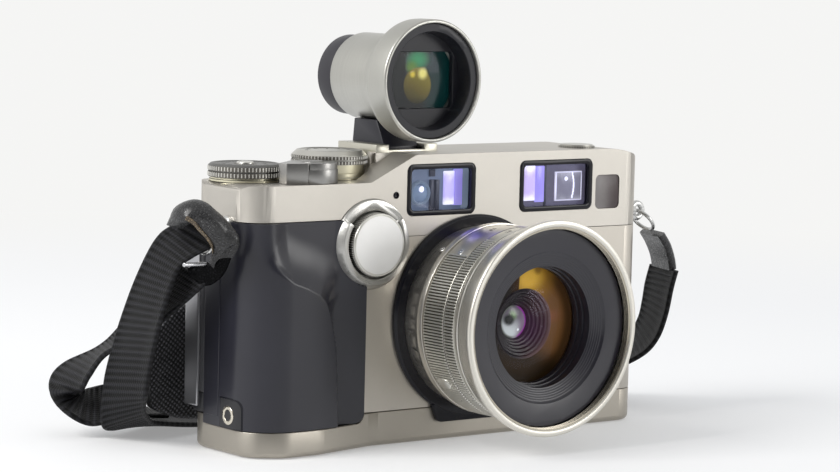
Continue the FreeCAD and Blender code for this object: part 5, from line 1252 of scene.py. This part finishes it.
@dataclass
class Controls:
    """The dials, buttons, switch and sockets."""

    covers: Covers
    arrays: ArcArray
    dials: tuple[DialRows, ...] = (
        DialRows("exposure_dial", EXPOSURE_DIAL, 10.0, ((74.0, 75.3), (75.6, 76.9)), 64),
        DialRows("shutter_dial", SHUTTER_DIAL, 10.4, ((76.98, 77.95), (78.25, 79.2)), 68),
        DialRows("drive_dial", Vector((50.0, -8.0, 0.0)), 5.2, ((78.75, 80.5),), 44, 0.16, 0.40),
        DialRows("focus_dial", FOCUS_DIAL, 8.6, ((16.9, 19.7),), 84, 0.18, 0.40, Axis.FRONT),
    )

    def build(self) -> None:
        """Makes the controls."""
        for node, finish, width in (("focus_dial_bezel", BEZEL, 0.25), ("power_switch", SWITCH, 0.22),
                                    ("release_button", SWITCH, 0.15), ("exposure_button", KNURL, 0.15),
                                    ("hot_shoe", SHOE, 0.2), ("lens_release_button", LENS_METAL, 0.2),
                                    ("door_latch", DIAL, 0.15), ("sync_socket", NICKEL, 0.15)):
            self.covers.soften(node, finish, width)
        # The exposure dial's darker metal is painted shade.
        for finish, node in ((SHADED_DIAL_TOP, "exposure_dial"), (DIAL, "shutter_dial"), (DIAL, "drive_dial"),
                             (BLACK_PLASTIC, "diopter_dial"), (KNURL, "focus_dial")):
            self.covers.carry(finish, node)
        for dial in self.dials:
            self.rows(dial)
        self.faces()
        self.figures()

    def rows(self, dial: DialRows) -> None:
        """The fine ridges round a dial, over a ground darkened by painted shade and dirt."""
        centre, edge = dial.centre, dial.radius
        grounds, ridges = [], []
        for low, high in dial.rows:
            grounds.append(lathe([(low, edge - 0.3), (low, edge + 0.03), (high, edge + 0.03), (high, edge - 0.3)],
                                 centre, dial.axis, 128))
            ridges.append(self.arrays.make(ridge(dial.width, dial.depth, high - low), KNURL, dial.count, edge,
                                           place=centre + dial.axis.value.to_3x3() @ Vector((0, 0, low)),
                                           axis=dial.axis))
        finished(f"{dial.node}_ground", joined(grounds), KNURL_GAP_SHADE_AND_DIRT, dial.node)
        finished(f"{dial.node}_ridges", joined(ridges), KNURL, dial.node, 20.0)

    def faces(self) -> None:
        """The turned faces and rings of the dials, and the timer lamp."""
        face = lathe([(20.23, 0.0), (20.23, 7.6), (20.23, 7.88), (20.19, 7.94), (20.1, 7.96), (20.0, 7.9),
                      (20.0, 0.0)], FOCUS_DIAL)
        finished("focus_dial_face", face, DIAL_FACE, "focus_dial", 20.0)
        rim = lathe([(20.1, 7.96), (20.1, 8.12), (20.24, 8.2), (20.27, 8.3), (20.24, 8.42), (20.05, 8.56),
                     (19.8, 8.6), (19.8, 7.9)], FOCUS_DIAL)
        finished("focus_dial_rim", rim, KNURL, "focus_dial", 60.0)
        lamp = lathe([(16.3, 0.0), (16.42, 0.4), (16.3, 0.75), (16.62, 0.8), (16.62, 0.95), (15.9, 1.0), (15.9, 0.0)],
                     Vector((-21.7, 0.0, 69.0)), steps=32)
        finished("timer_lamp", lamp, BLACK_GLOSS)
        ring = lathe([(72.82, 8.8), (72.82, 9.75), (73.3, 9.75), (73.42, 9.5), (73.9, 9.42), (73.9, 8.8)],
                     EXPOSURE_DIAL, Axis.UP)
        finished("exposure_dial_skirt", ring, BRASSY, "exposure_dial")
        ring = lathe([(72.82, 9.3), (72.82, 10.15), (73.3, 10.15), (73.42, 9.85), (74.4, 9.78), (74.45, 9.86),
                      (74.6, 9.86), (74.65, 9.78), (76.85, 9.78), (76.85, 9.3)], SHUTTER_DIAL, Axis.UP)
        finished("shutter_dial_skirt", ring, BRASSY, "shutter_dial")
        # The button's well is darkened too: painted shade and dirt.
        well = lathe([(77.30, 2.5), (77.33, 2.6), (77.33, 3.15), (77.30, 3.25), (77.2, 3.25), (77.2, 2.5)],
                     EXPOSURE_DIAL, Axis.UP, 64)
        finished("exposure_button_well", well, KNURL_GAP_SHADE_AND_DIRT, "exposure_dial")

    def figures(self) -> None:
        """The small generic figures on the two top dials."""
        for dial, words, radius, top, size in (
                (self.dials[0], "2 1 0 1 2 A B C D".split(), 5.9, 77.31, 1.7),
                (self.dials[1], "A B 1 2 4 8 15 30 60 125 250 500".split(), 6.4, 80.31, 1.5)):
            marks = []
            for index, word in enumerate(words):
                turn = math.tau * index / len(words)
                spin = (Matrix.Translation((dial.centre + Vector((0, 0, top))) * MM)
                        @ Matrix.Rotation(turn, 4, "Z") @ Matrix.Translation(Vector((0, -radius, 0)) * MM))
                marks.append(lettering(word, size, spin))
            finished(f"{dial.node}_figures", joined(marks), INK, dial.node, None)


@dataclass
class Windows:
    """The front windows and the parts seen behind them, and the eyepiece."""

    covers: Covers

    def build(self) -> None:
        """Makes the windows."""
        soften, carry = self.covers.soften, self.covers.carry
        soften("rangefinder_window_frame", BLACK_GLOSS, 0.25)
        soften("finder_window_frame", BLACK_GLOSS, 0.25)
        soften("eyepiece_frame", BLACK_PLASTIC, 0.3)
        soften("illumination_window", FROSTED, 0.2)
        carry(PANE, "rangefinder_window_glass", "finder_window_glass")
        carry(CLEAR, "eyepiece_lens")
        self.rangefinder()
        self.viewfinder()

    @staticmethod
    def slabs(*rows: tuple[str, Point, Point, Finish]) -> None:
        """Plain blocks from rows of a name, two corners and a finish."""
        for name, low, high, finish in rows:
            finished(name, block(low, high), finish)

    def rangefinder(self) -> None:
        """The inner parts behind the left window."""
        self.slabs(("range_back", (-17.5, -11.9, 62.0), (9.4, -11.5, 77.2), BLUE_GREY))
        bars = [block((-6.9, -12.7, 62.6), (-5.6, -11.9, 72.6)), block((-5.2, -12.9, 62.4), (-3.8, -11.9, 72.5)),
                block((-7.1, -12.5, 73.4), (-5.1, -11.9, 75.4))]
        finished("range_posts", joined(bars), DARK_INNER)
        tilt = Matrix.Rotation(math.radians(14), 4, "Y")
        finished("range_ledge", block((-16.0, -13.2, 62.2), (-5.6, -12.0, 63.7), 0.15, tilt), DARK_INNER)
        middle = Vector((-10.3, 0.0, 68.9))
        rim = lathe([(12.0, 2.6), (12.7, 2.7), (12.9, 3.0), (12.7, 3.4), (12.0, 3.5)], middle, steps=64)
        finished("range_lens_rim", rim, STEEL_BLUE)
        lens = lathe([(13.0, 0.0), (12.9, 1.0), (12.6, 2.0), (12.1, 2.75), (11.9, 2.75), (11.9, 0.0)], middle, steps=48)
        finished("range_lens", lens, BALL)
        # A small white spark on the lens: a painted highlight.
        spark = lathe([(13.05, 0.0), (13.05, 0.75), (12.9, 0.9), (12.6, 0.0)], Vector((-10.2, 0.0, 70.0)), steps=24)
        finished("range_spark", spark, WHITE_GLEAM)
        self.slabs(("range_gleam", (-2.0, -12.7, 65.4), (1.5, -12.0, 74.8), LILAC),
                   ("range_mirror", (1.5, -12.7, 65.2), (4.4, -12.0, 75.3), VIOLET),
                   ("range_wall", (4.4, -12.6, 64.4), (7.4, -12.0, 75.3), STEEL_BLUE))

    def viewfinder(self) -> None:
        """The inner parts behind the right window."""
        self.slabs(("view_back", (21.6, -14.15, 62.8), (49.8, -13.85, 77.2), GREY_INNER),
                   ("view_gleam", (25.4, -14.5, 65.7), (29.4, -14.1, 75.6), PINK),
                   ("view_mirror", (29.4, -14.5, 65.2), (32.8, -14.1, 75.5), VIOLET),
                   ("view_post", (32.8, -14.35, 63.4), (33.7, -14.1, 76.8), DARK_INNER))
        # The thin outline, the arc of short bars and the spark below are painted highlights in white.
        outline = [block((36.8, front, low), (right, -14.15, high), 0.05) for front, low, right, high in (
            (-14.55, 65.4, 37.4, 73.7), (-14.5, 73.3, 46.8, 73.7), (-14.5, 65.3, 46.8, 65.6))]
        outline.append(block((46.6, -14.45, 65.4), (46.9, -14.15, 73.6), 0.05))
        finished("view_outline", joined(outline), GLINT)
        self.slabs(("view_field", (37.4, -14.4, 65.6), (46.6, -14.1, 73.3), VIEW_FIELD))
        pitch, bends = 0.92, [0.55 * ((k - 3.5) / 3.5) ** 2 for k in range(8)]
        arc = [block((43.6 - bend, -14.6, 65.9 + k * pitch), (44.0 - bend, -14.3, 66.9 + k * pitch), 0.03)
               for k, bend in enumerate(bends)]
        finished("view_arc", joined(arc), WHITE_GLEAM)
        spark = lathe([(14.75, 0.0), (14.72, 0.55), (14.6, 0.62), (14.3, 0.0)], Vector((40.8, 0.0, 71.6)), steps=24)
        finished("view_spark", spark, WHITE_GLEAM)


@dataclass
class Lens:
    """The wide lens with its rings, iris and front glass."""

    covers: Covers
    arrays: ArcArray
    band_radius: float = 26.45

    def build(self) -> None:
        """Makes the lens."""
        soften, carry = self.covers.soften, self.covers.carry
        soften("lens_base_ring", BASE_METAL, 0.12)
        soften("aperture_ring", LENS_METAL, 0.1)
        self.collar()
        soften("mount_trim_ring", BLACK_GLOSS, 0.3)
        carry(MOUNT, "mount_flange")
        soften("lens_name_ring", NAME_RING, 0.06)
        carry(CLEAR, "lens_front_glass")
        carry(BLADE, *(f"iris_blade_{index}" for index in range(1, 6)))
        self.grips()
        self.rim()
        self.inside()
        self.fasteners()

    def collar(self) -> None:
        """The front barrel, stepped between the grip bands and the rim."""
        outer = [(20.0, 20.2), (20.0, 23.6), (40.9, 23.6), (41.1, 26.1), (41.45, 26.1), (41.6, 25.4), (42.5, 25.4),
                 (42.65, 26.75), (42.8, 26.95), (43.7, 27.25), (43.9, 27.1), (44.0, 26.5), (44.7, 26.7),
                 (44.8, 27.45), (44.95, 27.65), (48.6, 28.95), (49.9, 29.25), (50.2, 29.1), (50.2, 28.0)]
        inner = [(44.4, 27.3), (44.4, 20.2)]
        finished("lens_collar", lathe([*outer, *inner], LENS, steps=192), LENS_METAL, smooth=24.0,
                 stands_for=("lens_front_barrel",))
        flange = lathe([(33.1, 20.6), (33.1, 9.3), (33.6, 9.3), (33.6, 20.6)], LENS)
        finished("iris_flange", flange, BLADE)
        radius, height, width = 22.35, 48.35, 0.14
        edge = lathe([(height, radius - width), (height + width, radius), (height, radius + width),
                      (height - width, radius)], LENS, steps=144)
        finished("edge_line_22", edge, EDGE_LINE, "optical_cell", 100.0)

    def grips(self) -> None:
        """The two fine ridged bands, each with a plain stretch on top."""
        for name, body, low, high, first, count in (("base_ring", BODY, 28.3, 36.45, 134.0, 137),
                                                     ("aperture_ring", "aperture_ring", 37.2, 40.95, 118.0, 154)):
            step = 1.81
            bars = self.arrays.make(ridge(0.56, 0.30, high - low, 0.12), RIDGE_METAL, count, self.band_radius, first,
                                    step, place=LENS + Vector((0, -low, 0)), axis=Axis.FRONT)
            finished(f"{name}_ridges", bars, RIDGE_METAL, body, 20.0)
            # The ground under the ridges is darkened: painted shade and dirt.
            ground = self.sector(low + 0.05, high - 0.05, 26.47, first - 0.6, step * count)
            finished(f"{name}_ground", ground, RIDGE_GAP_SHADE_AND_DIRT, body)

    @staticmethod
    def sector(low: float, high: float, radius: float, first: float, sweep: float) -> Mesh:
        """A thin closed skin round part of the lens, from one height to another."""
        shape = bmesh.new()
        steps, thick = 140, 0.2
        rings = []
        for k in range(steps + 1):
            turn = math.radians(first + sweep * k / steps)
            rings.append([shape.verts.new((r * math.cos(turn), r * math.sin(turn), h))
                          for h, r in ((low, radius - thick), (low, radius), (high, radius), (high, radius - thick))])
        for a, b in zip(rings, rings[1:]):
            for k in range(4):
                j = (k + 1) % 4
                shape.faces.new((a[k], a[j], b[j], b[k]))
        shape.faces.new(rings[0])
        shape.faces.new(list(reversed(rings[-1])))
        shape.transform(Matrix.Translation(LENS * MM) @ Axis.FRONT.value @ Matrix.Scale(MM, 4))
        return to_mesh(shape)

    def rim(self) -> None:
        """The pale rim and the thread inside it."""
        rim = lathe([(49.9, 29.32), (50.7, 29.56), (51.5, 29.60), (51.85, 29.45), (52.0, 29.15), (52.0, 28.2),
                     (51.9, 27.95), (51.7, 27.8), (51.3, 27.8), (51.3, 29.0), (49.9, 29.1)], LENS, steps=192)
        finished("lens_rim", rim, RIM_METAL)
        turns: list[tuple[float, float]] = []
        pitch, root, crest = 0.55, 27.55, 27.22
        for index in range(4):
            foot = 49.5 + index * pitch
            turns += [(foot, root), (foot + 0.12, crest), (foot + 0.28, crest), (foot + 0.42, root)]
        turns += [(51.6, 27.6), (51.6, 27.8), (49.45, 27.8)]
        finished("filter_thread", lathe(turns, LENS, steps=192), THREAD, smooth=25.0)

    def inside(self) -> None:
        """The inner elements seen through the front glass."""
        # The inner elements carry painted reflections that glow a little.
        bowl = lathe([(39.30, 17.0), (39.25, 14.0), (39.10, 11.5), (38.95, 9.75), (38.75, 9.65), (38.6, 10.2),
                      (38.8, 13.0), (38.9, 17.0)], LENS)
        finished("front_group_bowl", bowl, AMBER, "optical_cell")
        rings = [(38.95, 9.75), (38.7, 9.2), (38.2, 8.9), (38.1, 8.3), (37.5, 8.0), (37.4, 7.4), (36.8, 7.1),
                 (36.7, 6.5), (36.1, 6.2), (36.0, 5.7), (35.3, 5.4), (35.2, 5.0), (34.6, 4.8), (34.4, 4.6)]
        back = [(34.2, 4.6), (34.2, 9.75)]
        finished("inner_rings", lathe([*rings, *back], LENS), PLUM, "optical_cell")
        core = lathe([(35.0, 0.0), (34.95, 1.5), (34.75, 3.0), (34.4, 4.2), (34.15, 4.65), (33.95, 4.65),
                      (33.95, 0.0)], LENS, steps=64)
        finished("core_glass", core, PUPIL, "optical_cell")

    def fasteners(self) -> None:
        """The small screws, the plain index bump and the figures on the rings."""
        head = lathe([(0.0, 0.0), (0.0, 0.25), (0.12, 0.3), (0.12, 0.75), (0.0, 0.9), (-0.5, 0.9), (-0.5, 0.0)],
                     Vector((0, 0, 0)), Axis.UP, 20)
        head.transform(Matrix.Rotation(math.radians(90), 4, "Y"))
        screws = self.arrays.make(head, STEEL, 3, 25.35, 129.0, 120.0, place=LENS + Vector((0, -22.3, 0)),
                                  axis=Axis.FRONT)
        small = self.arrays.make(head, STEEL, 1, 26.5, 131.5, 120.0, place=LENS + Vector((0, -32.4, 0)),
                                 axis=Axis.FRONT)
        finished("base_ring_screws", joined([screws, small]), STEEL)
        bump = lathe([(-0.6, 0.0), (-0.6, 1.9), (0.42, 1.9), (0.55, 1.6), (0.62, 0.0)], Vector((0, 0, 0)), Axis.UP, 40)
        bump.transform(Matrix.Rotation(math.radians(90), 4, "Y") @ Matrix.Scale(1.35, 4, Vector((1, 0, 0))))
        dot = self.arrays.make(bump, RIDGE_METAL, 1, self.band_radius, 217.0, 0.0,
                               place=LENS + Vector((0, -31.6, 0)), axis=Axis.FRONT)
        finished("index_bump", dot, RIDGE_METAL)
        for name, body, height, radius, words, size in (
                ("distance_figures", BODY, 32.3, 26.46, ("0.5", "0.7", "1", "2", "5"), 1.9),
                ("aperture_figures", "aperture_ring", 39.1, 26.46, ("2.8", "4", "5.6", "8", "11"), 1.6)):
            marks, first, apart = [], 104.0, 13.5
            for index, word in enumerate(words):
                turn = math.radians(first - index * apart)
                out = Vector((math.cos(turn), 0.0, math.sin(turn)))
                round_way = Vector((-math.sin(turn), 0.0, math.cos(turn))) * -1.0
                ahead = Vector((0.0, 1.0, 0.0))
                spin = Matrix((round_way, ahead, out)).transposed().to_4x4()
                place = Vector((LENS.x, -height, LENS.z)) + out * radius
                marks.append(lettering(word, size, Matrix.Translation(place * MM) @ spin))
            finished(name, joined(marks), INK, body, None)


@dataclass
class AccessoryFinder:
    """The round finder in the shoe."""

    covers: Covers
    body: str = "accessory_finder"

    def build(self) -> None:
        """Makes the finder."""
        for node, finish, width in (("finder_barrel", FINDER_METAL, 0.2), ("finder_mask", FINDER_BLACK, 0.2),
                                    ("finder_eyecup", EYECUP, 0.3), ("finder_foot", FOOT_PAINT, 0.2)):
            self.covers.soften(node, finish, width)
        # The finder's glasses carry painted reflections that glow a little.
        front = lathe([(-7.9, 0.0), (-7.9, 12.4), (-8.6, 12.5), (-9.0, 0.0)], FINDER)
        rear = lathe([(-33.2, 0.0), (-33.2, 7.9), (-35.5, 7.9), (-35.8, 0.0)], FINDER)
        finished("finder_glasses", joined([front, rear]), FINDER_REFLECTION, self.body, stands_for=("finder_lenses",))
        pane = lathe([(-6.0, 0.0), (-6.5, 8.0), (-7.45, 13.2), (-7.6, 13.2), (-7.0, 0.0)], FINDER)
        finished("finder_front_glass", pane, CLEAR, self.body)


@dataclass
class Strap:
    """The neck strap: keepers, webbing, pad and the eyelets."""

    covers: Covers

    def build(self) -> None:
        """Makes the strap."""
        self.covers.soften("strap_lugs", STEEL, 0.1)
        self.keepers()
        self.webbing()
        self.pad()

    @staticmethod
    def sewn(name: str, finish: Finish, *bands: Band, stands_for: Sequence[str] = ()) -> Item:
        """One piece from bands."""
        return finished(name, joined([band.mesh() for band in bands]), finish, smooth=60.0, stands_for=stands_for)

    def keepers(self) -> None:
        """The two leather keepers: a domed hood with a slit and a lobe under it in a darker copy of the leather as
        painted shade, and a flat one.
        """
        out, up = (-0.8, -0.5, 0.3), (-0.5, -0.5, 0.7)
        hood = edged((
            ((-83.0, 0.0, 61.6), (-84.8, -6.0, 61.4), out), ((-82.8, -0.5, 64.0), (-85.4, -9.5, 62.8), out),
            ((-82.8, -1.5, 66.0), (-85.6, -12.0, 63.8), up), ((-81.4, -6.0, 68.4), (-84.4, -12.5, 63.4), up),
            ((-79.8, -9.6, 68.5), (-82.8, -12.5, 61.6), up), ((-78.0, -11.8, 66.6), (-81.0, -13.0, 59.8), up),
            ((-76.0, -13.2, 64.6), (-79.0, -12.5, 57.5), out), ((-74.5, -15.3, 62.0), (-77.5, -11.0, 55.0), out),
            ((-73.2, -16.4, 59.4), (-77.0, -9.5, 53.0), out), ((-73.4, -16.0, 56.8), (-77.5, -9.0, 51.8), out),
            ((-74.8, -15.0, 54.4), (-78.0, -11.0, 51.4), out),
        ))
        lobe = edged((
            ((-73.6, -15.0, 57.0), (-76.5, -8.5, 52.5), out), ((-73.6, -12.6, 52.6), (-77.0, -6.0, 52.0), out),
            ((-74.2, -10.8, 49.2), (-78.0, -4.5, 52.0), out), ((-75.4, -8.0, 46.6), (-78.5, -3.5, 51.5), out),
            ((-76.8, -5.6, 45.8), (-79.0, -3.0, 51.0), out), ((-78.6, -3.4, 47.4), (-80.0, -2.4, 50.4), out),
        ))
        right = stations((
            ((80.9, -7.6, 53.8), (0.30, 0.95, 0.0), (0.7, 0.0, 0.7)),
            ((84.0, -7.0, 50.4), (0.30, 0.95, 0.0), (0.7, 0.0, 0.7)),
            ((86.8, -6.0, 46.4), (0.32, 0.94, 0.0), (0.85, 0.0, 0.5)),
            ((88.2, -5.4, 42.9), (0.33, 0.94, 0.0), (1.0, 0.0, 0.1)),
        ), 15.0)
        self.sewn("leather_keepers", HIDE, Band(hood, 1.8, rib_depth=0.0, fine=0.6, dome=2.2),
                  Band(right, 2.2, rib_depth=0.0, fine=0.6), stands_for=("strap_keepers",))
        # The lobe under the hood is darkened: painted shade.
        self.sewn("keeper_lobe", SHADED_HIDE, Band(lobe, 1.6, rib_depth=0.0, fine=0.6, dome=0.8))
        lip = edged((
            ((-87.2, -12.2, 65.4), (-87.2, -11.6, 64.4), out), ((-85.4, -12.8, 64.2), (-85.0, -11.8, 63.2), out),
            ((-83.4, -12.8, 62.2), (-83.0, -11.8, 61.3), out), ((-81.4, -13.2, 60.2), (-81.0, -12.2, 59.3), out),
            ((-79.4, -12.8, 57.8), (-79.0, -11.8, 57.0), out), ((-78.0, -11.4, 55.4), (-77.6, -10.6, 54.8), out),
        ))
        self.sewn("keeper_slit_edge", RAW_HIDE, Band(lip, 0.5, rib_depth=0.0, fine=0.8))
        bar = lathe([(0.0, 0.0), (0.0, 0.45), (0.15, 0.6), (6.9, 0.6), (7.05, 0.45), (7.05, 0.0)],
                    Vector((-77.6, -7.2, 51.9)), Axis.LEFT, 24)
        finished("keeper_pin", bar, PIN_STEEL, smooth=40.0)

    def webbing(self) -> None:
        """The two lengths of webbing, the left one folded behind the body."""
        out, low = (-0.9, -0.4, 0.1), (-0.4, 0.0, -0.9)
        front = edged((
            ((-79.5, 0.5, 65.5), (-73.5, -8.0, 61.0), out), ((-82.0, 2.0, 62.0), (-76.5, -8.5, 56.5), out),
            ((-83.5, 6.0, 59.0), (-80.5, -5.5, 53.5), out), ((-84.5, 10.0, 54.0), (-83.0, -3.0, 50.5), out),
            ((-85.5, 16.0, 44.0), (-85.0, -1.0, 43.0), out), ((-86.5, 22.0, 31.0), (-86.5, 1.5, 32.5), out),
            ((-87.0, 26.5, 19.5), (-86.0, 6.0, 21.5), out), ((-87.0, 28.0, 13.0), (-85.5, 8.0, 15.5), out),
            ((-86.6, 29.5, 8.0), (-84.2, 10.5, 13.0), out), ((-84.8, 32.0, 3.4), (-81.4, 15.0, 9.4), low),
            ((-80.5, 35.0, 1.8), (-77.6, 19.0, 7.0), low), ((-72.0, 39.5, 1.3), (-72.5, 23.0, 4.6), low),
            ((-58.0, 46.0, 1.0), (-58.0, 26.0, 2.4), low), ((-36.0, 49.5, 1.0), (-36.0, 29.5, 1.0), low),
        ))
        pile = stations([((x, 40.0, z), (0.0, -1.0, 0.0), face) for x, z, face in self.folds(-8.0, 50.0, 4, 2.1, 1.0)])
        tail = edged((
            ((-79.0, 6.5, 52.5), (-77.0, -7.0, 46.5), out), ((-80.0, 19.0, 41.5), (-80.0, 1.0, 39.5), out),
            ((-79.0, 33.0, 30.0), (-85.0, 13.5, 29.5), out), ((-80.0, 42.0, 23.5), (-88.0, 25.0, 24.5), out),
            ((-86.0, 50.0, 18.5), (-90.0, 30.0, 18.0), out), ((-90.5, 50.0, 14.5), (-90.5, 33.0, 13.5), out),
            ((-95.0, 42.0, 10.5), (-87.0, 40.5, 11.5), (-0.7, -0.3, -0.3)),
            ((-93.0, 36.0, 6.5), (-80.5, 49.0, 10.5), (0.2, -0.6, 0.5)),
            ((-88.0, 33.5, 3.6), (-79.5, 46.5, 11.5), (0.2, -0.6, 0.5)),
            ((-83.0, 30.0, 4.4), (-77.0, 41.0, 13.0), (0.2, -0.6, 0.5)),
            ((-75.0, 30.0, 5.2), (-70.0, 42.0, 10.5), (0.1, -0.5, 0.8)),
            ((-62.0, 33.0, 4.2), (-60.0, 51.0, 3.2), (0.0, 0.0, 1.0)),
        ))
        self.sewn("left_webbing", NYLON, Band([*front, *pile]), Band(tail), stands_for=("strap_left",))
        route = [
            ((88.21, -5.4, 42.8), (0.33, 0.94, 0.0), (1.0, 0.0, 0.1)),
            ((89.4, -2.2, 37.0), (0.33, 0.94, 0.0), (1.0, 0.0, 0.0)),
            ((88.8, -1.2, 30.0), (0.36, 0.92, 0.1), (1.0, 0.0, -0.1)),
            ((87.4, -0.2, 24.0), (0.42, 0.88, 0.2), (0.9, 0.0, -0.3)),
            ((86.6, 4.0, 18.6), (0.50, 0.82, 0.2), (0.8, -0.2, -0.5)),
            ((85.0, 12.0, 12.4), (0.70, 0.70, 0.1), (0.3, -0.5, -0.8)),
            ((82.6, 22.0, 6.0), (0.90, 0.40, 0.0), (0.1, -0.5, -0.8)),
            ((80.6, 33.0, 1.6), (0.98, 0.15, 0.0), (0.0, -0.1, -1.0)),
            ((80.0, 53.95, 1.2), (1.0, 0.0, 0.0), (0.0, 0.0, -1.0)),
        ]
        self.sewn("right_webbing", NYLON, Band(stations(route)), stands_for=("strap_right",))

    @staticmethod
    def folds(near: float, far: float, layers: int, pitch: float, low: float) -> list[tuple[float, float, Point]]:
        """Places of webbing folded to and fro: x, height and face."""
        rows: list[tuple[float, float, Point]] = []
        for layer in range(layers):
            height = low + layer * pitch
            way = 1 if layer % 2 == 0 else -1
            start, end = (near, far) if way > 0 else (far, near)
            rows += [(x, height, (0.0, 0.0, -way)) for x in (start, (start + end) / 2, end)]
            if layer < layers - 1:
                rows.append((end + way * pitch / 2, height + pitch / 2, (1.0 * way, 0.0, 0.0)))
        return rows

    def pad(self) -> None:
        """The woven shoulder pad, folded once."""
        middle_y, low, high, across = 72.0, 1.9, 6.3, (0.0, 1.0, 0.0)
        rows = [((x, middle_y, low), across, (0.0, 0.0, 1.0)) for x in (-2.0, 48.0, 98.0)]
        rows.append(((100.2, middle_y, 4.1), across, (-1.0, 0.0, 0.0)))
        rows += [((x, middle_y, high), across, (0.0, 0.0, -1.0)) for x in (98.0, 48.0, -2.0)]
        piece = self.sewn("shoulder_pad", PAD_CLOTH,
                          Band(stations(rows, 36.0), 3.4, rib_depth=0.0, hem=3.0, fine=1.5), stands_for=("strap_pad",))
        flap = edged([((x, top_y, top), (x, 23.6, foot), (0.0, -1.0, 0.0)) for x, top_y, top, foot in (
            (-75.0, 25.5, 27.5, 9.0), (-71.0, 25.7, 31.0, 7.0), (-64.0, 25.9, 36.0, 5.0), (-52.0, 26.0, 38.0, 4.0))])
        self.sewn("pad_flap", PAD_CLOTH, Band(flap, 2.0, rib_depth=0.0, fine=0.8))


@dataclass
class Studio:
    """The paper, the lights, the world and the camera."""

    eye: Point = (-523.115, -673.468, 140.012)
    yaw: float = 0.6601
    pitch: float = 0.0989
    roll: float = 0.0244
    lens: float = 129.97
    sensor: float = 36.0
    paper_z: float = -0.0002
    dark_way: Point = (-0.42, -0.91, 0.0)
    soft: float = 0.84

    def camera(self) -> None:
        """The photograph's camera."""
        yaw, pitch, roll = self.yaw, self.pitch, self.roll
        ahead = Vector((math.sin(yaw) * math.cos(pitch), math.cos(yaw) * math.cos(pitch), -math.sin(pitch)))
        right = Vector((math.cos(yaw), -math.sin(yaw), 0.0))
        up = right.cross(ahead)
        side = right * math.cos(roll) + up * math.sin(roll)
        top = up * math.cos(roll) - right * math.sin(roll)
        data = bpy.data.cameras.new("camera")
        data.lens = self.lens
        data.sensor_width = self.sensor
        data.clip_start = 0.02
        data.clip_end = 50.0
        eye = linked("camera", data)
        turn = Matrix((side, top, -ahead)).transposed().to_4x4()
        eye.matrix_world = Matrix.Translation(Vector(self.eye) * MM) @ turn
        bpy.context.scene.camera = eye

    def lamp(self, name: str, place: Point, aim: Point, size: float, power: float, colour: Colour) -> None:
        """One square area lamp."""
        data = bpy.data.lights.new(name, "AREA")
        data.size = size
        data.energy = power
        data.color = colour
        lamp = linked(name, data)
        lamp.location = place
        lamp.rotation_euler = (Vector(aim) - Vector(place)).to_track_quat("-Z", "Y").to_euler()

    def world(self) -> None:
        """A white backdrop, with the darker side of the room where the viewer stands.

        Camera, gloss and glass see the backdrop's white; soft light comes from the same room, dimmer.
        """
        world = bpy.context.scene.world = bpy.data.worlds.new("studio")
        shader = Shader(world, "ShaderNodeOutputWorld")
        way = shader.add("ShaderNodeTexCoord", {}, {}, "Generated")
        dark = tuple(Vector(self.dark_way).normalized())
        facing = shader.add("ShaderNodeVectorMath", {"operation": "DOT_PRODUCT"}, {0: way, 1: dark}, "Value")
        _, _, height = shader.parts(way)
        room = facing.step(0.52, 0.90, 1.0, 0.06) * height.step(0.10, 0.90, 1.0, 0.80)
        soft = shader.add("ShaderNodeBackground", {}, {"Color": (0.94, 0.965, 1.0), "Strength": room * self.soft})
        seen = shader.add("ShaderNodeBackground", {}, {"Color": BACKDROP, "Strength": room})
        shader.done(shader.add("ShaderNodeMixShader", {}, {0: shader.seen(), 1: soft, 2: seen}))

    def build(self) -> None:
        """Makes the studio."""
        shape = bmesh.new()
        bmesh.ops.create_grid(shape, x_segments=2, y_segments=2, size=20.0)
        mesh = to_mesh(shape)
        floor = linked("paper", mesh)
        mesh.materials.append(WHITE_PAPER.material())
        floor.location = (0.0, 0.0, self.paper_z)
        self.lamp("key", (-0.95, 0.10, 0.78), (0.0, 0.0, 0.03), 0.55, 10.0, (1.0, 0.99, 0.975))
        self.lamp("front_fill", (0.80, -1.00, 0.35), (0.0, 0.0, 0.05), 0.5, 3.5, (1.0, 0.99, 0.97))
        self.world()
        self.camera()
        bpy.context.scene.view_settings.view_transform = "Standard"


def main() -> None:
    """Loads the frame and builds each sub-assembly."""
    logging.basicConfig(level=logging.INFO, format="%(name)s: %(message)s")
    for item in list(bpy.data.objects):
        bpy.data.objects.remove(item)
    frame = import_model()
    Studio().build()
    arrays = ArcArray()
    covers = Covers(frame["nodes"])
    covers.build()
    Grip().build()
    Controls(covers, arrays).build()
    Windows(covers).build()
    Lens(covers, arrays).build()
    AccessoryFinder(covers).build()
    Strap(covers).build()


if __name__ == "__main__":
    main()
